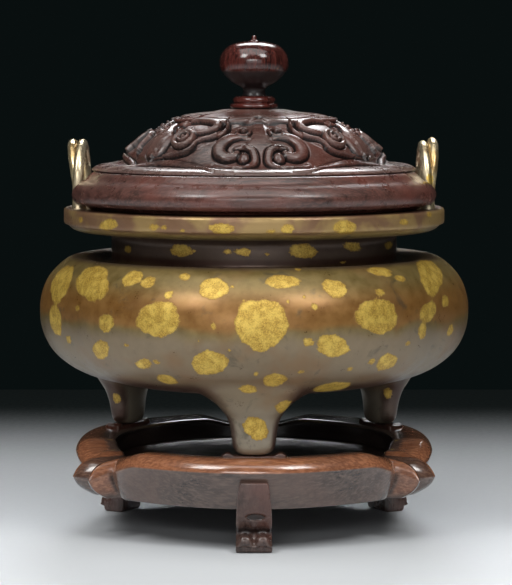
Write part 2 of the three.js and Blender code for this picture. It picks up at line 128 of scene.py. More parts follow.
def outline(points, corners, per=4, closed=True, bend=4):
    """A smooth line through points. corners maps a point's index to how far its corner is rounded back, 0 for sharp.
    A closed line starts at a corner. The number of points depends only on the counts, never on the shape."""
    p = [list(map(float, q)) for q in points]
    idx = sorted(corners)
    if closed:
        p.append(p[0])
        stops = idx + [len(p) - 1]
        cut = dict(corners)
        cut[len(p) - 1] = corners[idx[0]]
    else:
        stops = sorted(set([0, len(p) - 1] + idx))
        cut = {0: 0, len(p) - 1: 0, **corners}
    spans = []
    for a, b in zip(stops[:-1], stops[1:]):
        spans.append(trim(catmull(p[a:b + 1], per), cut[a], cut[b]))
    out = []
    for k, s in enumerate(spans):
        out.append(s)
        last = k == len(spans) - 1
        if last and not closed:
            continue
        at = stops[k + 1]
        nxt = spans[0] if last else spans[k + 1]
        if cut[at] > 0:
            c = np.array(p[at])
            t = np.linspace(0, 1, bend + 2)[1:-1, None]
            out.append((1 - t) ** 2 * s[-1] + 2 * t * (1 - t) * c + t ** 2 * nxt[0])
        else:
            out[-1] = s[:-1]
    return np.vstack(out)


def grid_faces(rows, cols, wrap_rows, wrap_cols):
    r = np.arange(rows if wrap_rows else rows - 1)
    c = np.arange(cols if wrap_cols else cols - 1)
    R, C = np.meshgrid(r, c, indexing="ij")
    R1, C1 = (R + 1) % rows, (C + 1) % cols
    return np.stack([R * cols + C, R * cols + C1, R1 * cols + C1, R1 * cols + C], -1).reshape(-1, 4)


def around(r, z, az):
    """Points of rows r, z turned to the azimuths az."""
    x = r[:, None] * np.sin(az)[None]
    y = -r[:, None] * np.cos(az)[None]
    return np.stack([x, y, np.broadcast_to(z[:, None], x.shape)], -1)


def lathe(name, prof, n, sharp=35):
    """A turned solid: prof is a closed line of (r, z), or an open one with both ends on the axis."""
    prof = np.asarray(prof, float)
    az = np.arange(n) * 2 * math.pi / n
    if prof[0, 0] < 1e-6 and prof[-1, 0] < 1e-6:
        mid = prof[1:-1]
        v = around(mid[:, 0], mid[:, 1], az).reshape(-1, 3)
        q = grid_faces(len(mid), n, False, True)
        lo, hi = len(v), len(v) + 1
        v = np.vstack([v, [[0, 0, prof[0, 1]], [0, 0, prof[-1, 1]]]])
        k = np.arange(n)
        k1 = (k + 1) % n
        base = (len(mid) - 1) * n
        t = np.vstack([np.column_stack([np.full(n, lo), k1, k]), np.column_stack([np.full(n, hi), base + k, base + k1])])
        return build(name, v, [q, t], sharp)
    v = around(prof[:, 0], prof[:, 1], az).reshape(-1, 3)
    return build(name, v, [grid_faces(len(prof), n, True, True)], sharp)


def polygon_distance(px, pz, poly):
    """Signed distance of the points to a closed line, negative inside."""
    a, b = poly, np.roll(poly, -1, axis=0)
    shape = px.shape
    px, pz = px.ravel(), pz.ravel()
    best = np.full(px.shape, 1e9)
    inside = np.zeros(px.shape, bool)
    for (ax, az_), (bx, bz) in zip(a, b):
        ex, ez = bx - ax, bz - az_
        t = np.clip(((px - ax) * ex + (pz - az_) * ez) / max(ex * ex + ez * ez, 1e-12), 0, 1)
        d = (px - ax - t * ex) ** 2 + (pz - az_ - t * ez) ** 2
        np.minimum(best, d, out=best)
        if az_ != bz:
            hit = ((az_ > pz) != (bz > pz)) & (px < (bx - ax) * (pz - az_) / (bz - az_) + ax)
            inside ^= hit
    return np.where(inside, -1, 1).reshape(shape) * np.sqrt(best).reshape(shape)


class Field:
    """A signed distance sampled on a plane grid, read back by straight interpolation."""
    def __init__(self, poly, lo, hi, step):
        self.lo, self.step = np.array(lo, float), step
        nx, nz = int((hi[0] - lo[0]) / step) + 2, int((hi[1] - lo[1]) / step) + 2
        gx = lo[0] + step * np.arange(nx)
        gz = lo[1] + step * np.arange(nz)
        X, Z = np.meshgrid(gx, gz, indexing="ij")
        self.v = polygon_distance(X, Z, np.asarray(poly)[:, :2])
        self.n = (nx, nz)

    def __call__(self, x, z):
        u = np.clip((x - self.lo[0]) / self.step, 0, self.n[0] - 1.001)
        w = np.clip((z - self.lo[1]) / self.step, 0, self.n[1] - 1.001)
        i, j = u.astype(int), w.astype(int)
        fu, fw = u - i, w - j
        v = self.v
        return (v[i, j] * (1 - fu) + v[i + 1, j] * fu) * (1 - fw) + (v[i, j + 1] * (1 - fu) + v[i + 1, j + 1] * fu) * fw


def surface(fn, lo, hi, step, rounds=4):
    """The zero surface of fn(x, y, z) as quads, its points moved onto the surface by Newton steps."""
    ax = [np.arange(lo[k], hi[k] + step, step) for k in range(3)]
    n = [len(a) for a in ax]
    val = np.empty(n, np.float32)
    for i0 in range(0, n[0], 24):
        X, Y, Z = np.meshgrid(ax[0][i0:i0 + 24], ax[1], ax[2], indexing="ij")
        val[i0:i0 + 24] = fn(X, Y, Z)
    neg = val < 0
    some = np.zeros([k - 1 for k in n], bool)
    every = np.ones([k - 1 for k in n], bool)
    for dx in (0, 1):
        for dy in (0, 1):
            for dz in (0, 1):
                c = neg[dx:n[0] - 1 + dx, dy:n[1] - 1 + dy, dz:n[2] - 1 + dz]
                some |= c
                every &= c
    cells = np.argwhere(some & ~every)
    index = np.full(some.shape, -1, np.int32)
    index[tuple(cells.T)] = np.arange(len(cells))
    corner = np.array([(i, j, k) for i in (0, 1) for j in (0, 1) for k in (0, 1)])
    cv = np.stack([val[tuple((cells + c).T)] for c in corner], 1)
    total = np.zeros((len(cells), 3))
    count = np.zeros(len(cells))
    for a in range(8):
        for b in range(a + 1, 8):
            if np.abs(corner[a] - corner[b]).sum() != 1:
                continue
            m = (cv[:, a] < 0) != (cv[:, b] < 0)
            t = cv[m, a] / (cv[m, a] - cv[m, b])
            total[m] += corner[a] + (corner[b] - corner[a]) * t[:, None]
            count[m] += 1
    v = (cells + total / count[:, None]) * step + np.array(lo)
    quads = []
    for axis in range(3):
        o1, o2 = [(1, 2), (2, 0), (0, 1)][axis]
        sl = [slice(0, k) for k in n]
        sa, sb = list(sl), list(sl)
        sa[axis], sb[axis] = slice(0, n[axis] - 1), slice(1, n[axis])
        change = neg[tuple(sa)] != neg[tuple(sb)]
        e = np.argwhere(change)
        e = e[(e[:, o1] > 0) & (e[:, o2] > 0) & (e[:, o1] < n[o1] - 1) & (e[:, o2] < n[o2] - 1)]
        s1, s2 = np.zeros(3, int), np.zeros(3, int)
        s1[o1], s2[o2] = 1, 1
        q = np.stack([index[tuple((e - s1 - s2).T)], index[tuple((e - s2).T)], index[tuple(e.T)], index[tuple((e - s1).T)]], 1)
        flip = ~neg[tuple(e.T)]
        q[flip] = q[flip][:, ::-1]
        quads.append(q)
    quads = np.vstack(quads)
    h = step * 0.1
    for _ in range(rounds):
        f = fn(v[:, 0], v[:, 1], v[:, 2])
        g = np.stack([
            fn(v[:, 0] + h, v[:, 1], v[:, 2]) - fn(v[:, 0] - h, v[:, 1], v[:, 2]),
            fn(v[:, 0], v[:, 1] + h, v[:, 2]) - fn(v[:, 0], v[:, 1] - h, v[:, 2]),
            fn(v[:, 0], v[:, 1], v[:, 2] + h) - fn(v[:, 0], v[:, 1], v[:, 2] - h)], 1) / (2 * h)
        move = -f[:, None] * g / np.maximum((g ** 2).sum(1), 0.15)[:, None]
        size = np.linalg.norm(move, axis=1)
        v += move * np.minimum(1, 0.5 * step / np.maximum(size, 1e-9))[:, None]
    used = np.unique(quads)
    back = np.full(len(v), -1)
    back[used] = np.arange(len(used))
    return v[used], back[quads]


def vertex_normals(v, quads):
    n = np.zeros_like(v)
    a, b, c, d = (v[quads[:, k]] for k in range(4))
    fn_ = np.cross(c - a, d - b)
    for k in range(4):
        np.add.at(n, quads[:, k], fn_)
    return n / np.maximum(np.linalg.norm(n, axis=1), 1e-12)[:, None]


def smooth01(t):
    t = np.clip(t, 0, 1)
    return t * t * (3 - 2 * t)


def float_attribute(ob, name, values):
    a = ob.data.attributes.new(name, "FLOAT", "POINT")
    a.data.foreach_set("value", np.asarray(values, np.float32))


# ------------------------------------------------------------------ material helper
class Graph:
    def __init__(self, name):
        self.mat = bpy.data.materials.new(name)
        self.mat.use_nodes = True
        self.nt = self.mat.node_tree
        self.nt.nodes.clear()
        self.out = self.nt.nodes.new("ShaderNodeOutputMaterial")
        self.bsdf = self.nt.nodes.new("ShaderNodeBsdfPrincipled")
        self.nt.links.new(self.bsdf.outputs[0], self.out.inputs[0])
        tc = self.nt.nodes.new("ShaderNodeTexCoord")
        self.mm = self.vec("MULTIPLY", tc.outputs["Object"], (1000, 1000, 1000))

    def put(self, socket, value):
        if isinstance(value, bpy.types.NodeSocket):
            self.nt.links.new(value, socket)
        else:
            socket.default_value = value

    def vec(self, op, a, b):
        n = self.nt.nodes.new("ShaderNodeVectorMath")
        n.operation = op
        self.put(n.inputs[0], a)
        self.put(n.inputs[1], b)
        return n.outputs[0]

    def stretch(self, scale, turn=(0, 0, 0)):
        n = self.nt.nodes.new("ShaderNodeMapping")
        n.inputs["Rotation"].default_value = turn
        n.inputs["Scale"].default_value = scale
        self.nt.links.new(self.mm, n.inputs[0])
        return n.outputs[0]

    def noise(self, vec, scale, detail=3.0, rough=0.5, distort=0.0):
        n = self.nt.nodes.new("ShaderNodeTexNoise")
        self.put(n.inputs["Vector"], vec)
        n.inputs["Scale"].default_value = scale
        n.inputs["Detail"].default_value = detail
        n.inputs["Roughness"].default_value = rough
        n.inputs["Distortion"].default_value = distort
        return n.outputs[0]

    def cells(self, vec, scale, feature="F1", jitter=1.0):
        n = self.nt.nodes.new("ShaderNodeTexVoronoi")
        n.feature = feature
        self.put(n.inputs["Vector"], vec)
        n.inputs["Scale"].default_value = scale
        n.inputs["Randomness"].default_value = jitter
        return n.outputs[0]

    def math(self, op, a, b=0.0, c=0.0, clamp=False):
        n = self.nt.nodes.new("ShaderNodeMath")
        n.operation = op
        n.use_clamp = clamp
        self.put(n.inputs[0], a)
        self.put(n.inputs[1], b)
        if op in ("MULTIPLY_ADD", "SMOOTH_MIN", "SMOOTH_MAX"):
            self.put(n.inputs[2], c)
        return n.outputs[0]

    def span(self, value, a, b, c=0.0, d=1.0, kind="SMOOTHSTEP"):
        n = self.nt.nodes.new("ShaderNodeMapRange")
        n.interpolation_type = kind
        self.put(n.inputs["Value"], value)
        n.inputs["From Min"].default_value = a
        n.inputs["From Max"].default_value = b
        n.inputs["To Min"].default_value = c
        n.inputs["To Max"].default_value = d
        return n.outputs[0]

    def mix(self, fac, a, b, blend="MIX"):
        n = self.nt.nodes.new("ShaderNodeMix")
        n.data_type = "RGBA"
        n.blend_type = blend
        self.put(n.inputs[0], fac)
        self.put(n.inputs[6], a if isinstance(a, bpy.types.NodeSocket) else (*a, 1))
        self.put(n.inputs[7], b if isinstance(b, bpy.types.NodeSocket) else (*b, 1))
        return n.outputs[2]

    def attribute(self, name):
        n = self.nt.nodes.new("ShaderNodeAttribute")
        n.attribute_name = name
        return n.outputs["Fac"]

    def parts(self, vec):
        n = self.nt.nodes.new("ShaderNodeSeparateXYZ")
        self.put(n.inputs[0], vec)
        return n.outputs

    def bump(self, height, strength, distance, normal=None):
        n = self.nt.nodes.new("ShaderNodeBump")
        n.inputs["Strength"].default_value = strength
        n.inputs["Distance"].default_value = distance
        self.put(n.inputs["Height"], height)
        if normal is not None:
            self.put(n.inputs["Normal"], normal)
        return n.outputs[0]

    def set(self, **kw):
        names = dict(color="Base Color", rough="Roughness", metal="Metallic", normal="Normal", coat="Coat Weight",
                     coat_rough="Coat Roughness", ior="IOR", spec="Specular IOR Level")
        for k, val in kw.items():
            s = self.bsdf.inputs[names[k]]
            self.put(s, (*val, 1) if k == "color" and not isinstance(val, bpy.types.NodeSocket) else val)
        return self.mat


# ------------------------------------------------------------------ materials
def bronze_material():
    g = Graph("splashed_bronze_patina")
    broad = g.noise(g.mm, 0.045, 3, 0.55)
    mid = g.noise(g.mm, 0.20, 4, 0.6)
    fine = g.noise(g.mm, 1.6, 3, 0.6)
    z = g.parts(g.mm)[2]
    olive = g.mix(g.span(mid, 0.3, 0.7), (0.170, 0.118, 0.038), (0.235, 0.168, 0.060))
    warm = g.mix(g.span(mid, 0.3, 0.7), (0.235, 0.102, 0.024), (0.310, 0.148, 0.040))
    # painted light: a warm orange-brown band just above the widest line
    painted_light_band = g.math("MULTIPLY", g.span(g.math("ADD", z, g.span(broad, 0.2, 0.8, -1.5, 1.5)), 84, 87.5), g.span(z, 104, 93.5))
    col = g.mix(g.math("MULTIPLY", painted_light_band, 0.88), olive, warm)
    # painted reflection: below the widest line the colour turns grey-brown for the pale floor's reflection
    low = g.span(g.math("ADD", z, g.span(broad, 0.2, 0.8, -2, 2)), 86.5, 80)
    col = g.mix(g.math("MULTIPLY", low, 0.85), col, g.mix(mid, (0.190, 0.140, 0.092), (0.245, 0.190, 0.130)))
    # painted reflection: the feet turn paler and greyer for the floor's reflection
    foot = g.span(z, 60, 46)
    col = g.mix(g.math("MULTIPLY", foot, 0.6), col, (0.290, 0.255, 0.200))
    col = g.mix(g.span(broad, 0.52, 0.72, 0, 0.5), col, (0.220, 0.112, 0.042))
    stain = g.span(g.noise(g.mm, 0.10, 5, 0.65, 0.6), 0.58, 0.72)
    col = g.mix(g.math("MULTIPLY", stain, 0.55), col, (0.060, 0.056, 0.040))
    # painted shade: the neck under the lip is darkened
    neck = g.math("MULTIPLY", g.span(z, 106.6, 108.6), g.span(z, 120, 117))
    col = g.mix(g.math("MULTIPLY", neck, 0.9), col, g.mix(mid, (0.060, 0.036, 0.034), (0.100, 0.066, 0.052)))
    lip = g.span(z, 119.6, 121.0)
    col = g.mix(g.math("MULTIPLY", lip, 0.75), col, g.mix(g.span(g.noise(g.mm, 0.07, 3, 0.55, 0.4), 0.40, 0.60), (0.230, 0.118, 0.075), (0.390, 0.255, 0.105)))
    # painted shade under the belly, on the legs' sides, on the lip's top and in the neck's hollow
    painted_shade = g.math("MULTIPLY", g.attribute("painted_shade"), g.span(broad, 0.3, 0.6, 0.7, 0.95))
    col = g.mix(painted_shade, col, g.mix(mid, (0.034, 0.015, 0.012), (0.080, 0.034, 0.024)))
    rough = g.math("ADD", g.span(mid, 0.25, 0.75, 0.28, 0.40), g.span(fine, 0.3, 0.7, -0.02, 0.03))
    skin = g.math("MULTIPLY_ADD", fine, 0.35, g.math("MULTIPLY", mid, 0.5))

    gold = g.attribute("splash")
    rag = g.math("ADD", g.span(g.noise(g.mm, 0.75, 2, 0.5), 0.25, 0.75, -0.8, 0.8, "LINEAR"),
                 g.span(g.noise(g.mm, 2.6, 3, 0.7), 0.25, 0.75, -0.9, 0.9, "LINEAR"))
    edge = g.math("ADD", gold, rag)
    mask = g.span(edge, -0.3, 0.3)
    speck = g.noise(g.mm, 2.6, 4, 0.8)
    pits = g.span(speck, 0.555, 0.64)
    thin = g.span(g.noise(g.mm, 0.42, 3, 0.6), 0.42, 0.70)
    pits = g.math("MULTIPLY", pits, g.span(thin, 0, 1, 0.45, 1.0))
    grain = g.noise(g.mm, 1.7, 4, 0.75)
    leaf = g.mix(g.span(grain, 0.36, 0.64), (0.320, 0.185, 0.026), (0.620, 0.410, 0.072))
    leaf = g.mix(g.span(g.noise(g.mm, 0.3, 3, 0.6), 0.38, 0.7, 0, 0.8), leaf, (0.740, 0.520, 0.108))
    rim = g.math("MULTIPLY", g.span(edge, 0.1, 1.8, 1, 0), 0.5)
    leaf = g.mix(rim, leaf, (0.260, 0.130, 0.030))
    leaf = g.mix(g.math("MULTIPLY", pits, 0.85), leaf, (0.075, 0.040, 0.014))
    col = g.mix(mask, col, leaf)
    rough = g.mix(mask, rough, g.mix(pits, (0.46, 0.46, 0.46), (0.68, 0.68, 0.68)))
    inner = g.attribute("inside")
    ash = g.mix(g.span(g.noise(g.mm, 0.5, 5, 0.7), 0.4, 0.65), (0.055, 0.045, 0.036), (0.16, 0.135, 0.11))
    col = g.mix(inner, col, ash)
    rough = g.mix(inner, rough, (0.62, 0.62, 0.62))
    height = g.math("ADD", g.math("MULTIPLY", mask, g.math("MULTIPLY_ADD", grain, 0.7, 0.5)), g.math("MULTIPLY", skin, 0.12))
    height = g.math("SUBTRACT", height, g.math("MULTIPLY", g.math("MULTIPLY", mask, pits), 0.6))
    normal = g.bump(height, 0.6, 0.0001)
    metal = g.mix(mask, (0.42, 0.42, 0.42), (0.45, 0.45, 0.45))
    return g.set(color=col, rough=rough, metal=g.mix(inner, metal, (0.4, 0.4, 0.4)), normal=normal)


def handle_material():
    g = Graph("handle_bronze_rubbed")
    broad = g.noise(g.mm, 0.16, 3, 0.5)
    fine = g.noise(g.mm, 1.4, 4, 0.6)
    along = g.noise(g.stretch((1.4, 1.4, 0.12)), 1.0, 3, 0.6)
    col = g.mix(g.span(broad, 0.35, 0.62), (0.520, 0.350, 0.150), (0.780, 0.640, 0.380))
    col = g.mix(g.span(fine, 0.56, 0.70, 0, 0.3), col, (0.300, 0.170, 0.075))
    wear_and_painted_light = g.span(g.attribute("crest"), 0.35, 1.0)
    col = g.mix(g.math("MULTIPLY", wear_and_painted_light, 0.45), col, (0.900, 0.830, 0.640))
    gold = g.span(g.math("ADD", g.attribute("splash"), g.span(fine, 0.25, 0.75, -1.2, 1.2)), -0.3, 0.3)
    col = g.mix(gold, col, (0.80, 0.54, 0.13))
    rough = g.span(along, 0.3, 0.7, 0.26, 0.36)
    return g.set(color=col, rough=rough, metal=0.85, normal=g.bump(g.math("ADD", fine, along), 0.10, 0.00004))


def wood_material(name, dark, mid, light, red, rough=(0.20, 0.34), axis=(0.10, 1.1, 1.1), coat=0.35, figure=1.0, carved=False, painted_light=False, painted_shade_band=None):
    g = Graph(name)
    grain_vec = g.stretch(axis)
    fibre = g.noise(grain_vec, 1.3, 5, 0.62, 0.25)
    pores = g.noise(g.stretch((axis[0] * 1.8, axis[1] * 2.6, axis[2] * 2.6)), 1.7, 3, 0.65)
    rings = g.noise(g.stretch((axis[0] * 0.5, axis[1] * 0.28, axis[2] * 0.28)), 0.8, 4, 0.55, 0.9)
    broad = g.noise(g.mm, 0.035, 3, 0.5)
    col = g.mix(g.span(rings, 0.36, 0.64), dark, mid)
    col = g.mix(g.span(fibre, 0.42, 0.70, 0, 0.75 * figure), col, light)
    col = g.mix(g.span(broad, 0.42, 0.66, 0, 0.6), col, red)
    slit = g.span(pores, 0.60, 0.68)
    col = g.mix(g.math("MULTIPLY", slit, 0.6), col, tuple(c * 0.35 for c in dark))
    smear = g.noise(g.mm, 0.13, 4, 0.6)
    r = g.math("ADD", g.span(smear, 0.3, 0.7, rough[0], rough[1]), g.math("MULTIPLY", slit, 0.12))
    if carved:
        # painted shade: the cut lines are darkened nearly to black; the crests are rubbed lighter
        cut = g.attribute("cavity")
        col = g.mix(g.math("MULTIPLY", g.span(cut, 0.10, 0.65), 0.94), col, (0.004, 0.002, 0.002))
        col = g.mix(g.math("MULTIPLY", g.attribute("crest"), 0.35), col, light)
        r = g.math("ADD", r, g.math("MULTIPLY", cut, 0.2))
    if painted_light:
        # painted light: a lit, warmer orange-brown is mixed in where the attribute is set
        wear_and_painted_light = g.math("MULTIPLY", g.attribute("painted_light"), g.span(broad, 0.25, 0.6, 0.55, 1.0))
        col = g.mix(wear_and_painted_light, col, g.mix(g.span(fibre, 0.38, 0.66), (0.225, 0.084, 0.041), (0.400, 0.165, 0.082)))
        # painted shade: where the shade attribute is set the colour goes nearly black
        col = g.mix(g.attribute("shade"), col, (0.004, 0.002, 0.002))
    if painted_shade_band:
        # painted shade: the lower part of the knob is darkened
        z = g.parts(g.mm)[2]
        low = g.math("MULTIPLY", g.span(z, painted_shade_band[1], painted_shade_band[1] - 1.6), g.span(z, painted_shade_band[0], painted_shade_band[0] + 0.3))
        col = g.mix(g.math("MULTIPLY", low, 0.93), col, (0.004, 0.002, 0.002))
        r = g.math("ADD", r, g.math("MULTIPLY", low, 0.35))
    height = g.math("SUBTRACT", g.math("MULTIPLY", fibre, 0.5), slit)
    return g.set(color=col, rough=r, metal=0.0, coat=coat, coat_rough=0.12, spec=0.55,
                 normal=g.bump(height, 0.22, 0.00006))


MAT_BRONZE = bronze_material()
MAT_HANDLE = handle_material()
MAT_LID = wood_material("lid_hardwood", (0.034, 0.015, 0.012), (0.088, 0.037, 0.029), (0.165, 0.078, 0.062), (0.165, 0.050, 0.036), (0.24, 0.36), coat=0.16)
MAT_DOME = wood_material("carved_lid_hardwood", (0.026, 0.013, 0.011), (0.062, 0.030, 0.025), (0.165, 0.105, 0.088), (0.125, 0.040, 0.029),
                         (0.24, 0.36), coat=0.20, carved=True)
MAT_FINIAL = wood_material("finial_hardwood", (0.022, 0.006, 0.005), (0.064, 0.016, 0.013), (0.120, 0.034, 0.026),
                           (0.135, 0.026, 0.020), (0.12, 0.20), (1.0, 1.0, 0.14), 0.25, painted_shade_band=(171.1, 181.8))
MAT_STAND = wood_material("stand_hardwood", (0.030, 0.011, 0.008), (0.090, 0.032, 0.019), (0.200, 0.076, 0.040),
                          (0.230, 0.070, 0.034), (0.22, 0.34), (0.12, 0.9, 0.9), 0.3)
# painted shade: the seats are a darker copy of the stand wood
MAT_SEAT = wood_material("seat_hardwood_shaded", (0.016, 0.007, 0.005), (0.046, 0.018, 0.012), (0.110, 0.044, 0.026),
                         (0.100, 0.034, 0.020), (0.24, 0.36), (0.12, 0.9, 0.9), 0.2)
# painted reflection: the rail's wood colours are greyed for the pale floor's reflection on the apron
MAT_RAIL = wood_material("rail_hardwood", (0.036, 0.022, 0.018), (0.088, 0.058, 0.047), (0.165, 0.110, 0.088),
                         (0.125, 0.072, 0.055), (0.15, 0.24), (0.12, 0.9, 0.9), 0.8, painted_light=True)
MAT_LEG = wood_material("leg_hardwood", (0.034, 0.020, 0.017), (0.078, 0.048, 0.040), (0.150, 0.096, 0.078),
                        (0.130, 0.050, 0.038), (0.24, 0.34), (0.9, 0.9, 0.12), 0.25, painted_light=True)
# painted shade: the floor board is near black for the shade inside the tray
MAT_PANEL = wood_material("panel_hardwood_shaded", (0.007, 0.004, 0.003), (0.014, 0.007, 0.005), (0.024, 0.010, 0.007),
                          (0.024, 0.009, 0.006), (0.30, 0.42), (0.09, 0.9, 0.9), 0.0)


def finish_piece(ob, material, slot, body, *nodes):
    ob.data.materials.clear()
    ob.data.materials.append(material)
    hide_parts(*nodes)
    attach(ob, body)
    return ob


# ------------------------------------------------------------------ lobed bronze vessel
def lobe_angle(a):
    return (a + math.pi / 3) % (2 * math.pi / 3) - math.pi / 3


def arc_lobe(a, off, arc):
    return off * np.cos(a) + np.sqrt(np.maximum(arc * arc - (off * np.sin(a)) ** 2, 1))


def soft_lobes(az, off, arc, soft):
    """The largest of the three lobe arcs at an azimuth, with the crease between them rounded."""
    a = lobe_angle(az)
    one, two = arc_lobe(a, off, arc), arc_lobe(2 * math.pi / 3 - np.abs(a), off, arc)
    d = one - two
    return one + soft * np.log1p(np.exp(-np.clip(d / soft, -40, 40)))


OUTSIDE = [(0, 143), (70, 143.4), (120, 145), (150, 148), (174, 154.5), (193, 165), (207, 178.5), (215.5, 196), (218, 215),
           (214.5, 234), (206, 250), (192, 263.4), (184, 268.2), (177, 270.4), (166, 268.2), (150, 264.8), (142, 266.5),
           (142, 280), (142, 289), (145.5, 294.4), (160, 295), (176, 295.8), (181, 298), (185, 301.8), (189, 303.2), (189, 318),
           (132.3, 318), (132, 300), (132, 258), (164, 254), (190, 246), (205, 228), (208, 206), (200, 184), (180, 166.5),
           (150, 157), (105, 153), (0, 152)]
OUTSIDE_CORNERS = {0: 0, 13: 1.2, 16: 2.5, 19: 2.5, 21: 1.0, 23: 0.5, 24: 1.2, 25: 3.2, 26: 4.0, 37: 0}
body_line = outline(OUTSIDE, OUTSIDE_CORNERS, per=5, closed=True, bend=6)
mirror = body_line[::-1].copy()
body_field = Field(body_line, (-4, 136), (226, 326), 0.6)

LEG_SECTIONS = np.array([(91.75, 13.4, 9.4, 150), (94, 16.8, 11.8, 150), (98, 19.6, 13.6, 150), (106, 21, 14.8, 150.2),
                         (116, 22.3, 16.4, 150.8), (126, 25.2, 19.2, 151.5), (134, 30.4, 23.6, 151.5), (141, 37.5, 28.6, 149.5),
                         (148, 48, 34, 147), (156, 60, 40, 145), (170, 74, 46, 143)])
leg_line = {k: catmull(LEG_SECTIONS[:, [0, k]], 6) for k in (1, 2, 3)}


def bronze_fn(x, y, z):
    r = np.hypot(x, y)
    az = np.arctan2(x, -y)
    share = np.minimum(np.interp(r, [0, 70, 120], [0, 0.5, 1]), np.interp(z, [215, 234, 250, 264, 270], [1, 0.8, 0.5, 0.2, 0]))
    k = 1 - share * (1 - soft_lobes(az, 24, 194, 0.9) / 218.5)
    f = body_field(r / k, z)
    near = z < 176
    if not np.any(near):
        return f
    out = np.array(f, float)
    xs, ys, zs = x[near], y[near], z[near]
    g = out[near]
    for turn in (0, 120, 240):
        c, s = math.cos(turn * RAD), math.sin(turn * RAD)
        u = xs * c + ys * s          # across the leg
        rad = xs * s - ys * c        # outwards
        zz = np.clip(zs, 91.75, 170)
        w = np.interp(zz, leg_line[1][:, 0], leg_line[1][:, 1])
        d = np.interp(zz, leg_line[2][:, 0], leg_line[2][:, 1])
        m = np.interp(zz, leg_line[3][:, 0], leg_line[3][:, 1])
        q = ((np.abs(u) / w) ** 2.3 + (np.abs(rad - m) / d) ** 2.3) ** (1 / 2.3)
        leg = (q - 1) * np.minimum(w, d) * 0.9
        sole = 91.75 - zs
        round_ = 1.6
        a, b = leg + round_, sole + round_
        leg = np.minimum(np.maximum(a, b), 0) + np.hypot(np.maximum(a, 0), np.maximum(b, 0)) - round_
        leg = np.maximum(leg, zs - 164)
        kk = 4.5
        h = np.clip(0.5 + 0.5 * (g - leg) / kk, 0, 1)
        g = g * (1 - h) + leg * h - kk * h * (1 - h)
        # the leg never fills the hollow of the bowl
    inner = polish_inner(xs, ys, zs)
    out[near] = np.maximum(g, inner)
    return out


def polish_inner(x, y, z):
    """Keeps the bowl's hollow open above the legs: positive inside the hollow."""
    r = np.hypot(x, y)
    az = np.arctan2(x, -y)
    share = np.interp(r, [0, 70, 120], [0, 0.5, 1])
    k = 1 - share * (1 - soft_lobes(az, 24, 194, 0.9) / 218.5)
    return -inner_field(r / k, z)


INNER = [(0, 152), (105, 153), (150, 157), (180, 166.5), (200, 184), (208, 206), (205, 228), (0, 228)]
inner_field = Field(outline(INNER, {0: 0, 6: 0, 7: 0}, per=5, closed=True), (-4, 136), (226, 240), 0.6)

BODY_STEP = 2.45
bv, bq = surface(bronze_fn, (-222.3, -222.3, 88.3), (222.3, 222.3, 321), BODY_STEP)
vessel = build("bronze_vessel", bv, [bq])
if volume(bv, [bq]) < 0:
    bq = bq[:, ::-1]
bn = vertex_normals(bv, bq)

# the camera's place, also used to lay out the splashes that the front shows
CAM_D, CAM_H, CAM_X = 2626.0, 457.9, 1.9
CAM_TILT, CAM_F = 4.911, 2639.0


def seen(v):
    """Where points of the front show in the picture, in its 512 x 585 frame."""
    t = CAM_TILT * RAD
    dy = v[:, 1] + CAM_D
    dz = v[:, 2] - CAM_H
    depth = dy * math.cos(t) - dz * math.sin(t)
    up = dy * math.sin(t) + dz * math.cos(t)
    return 256 + CAM_F * (v[:, 0] - CAM_X) / depth, 292.5 - CAM_F * up / depth


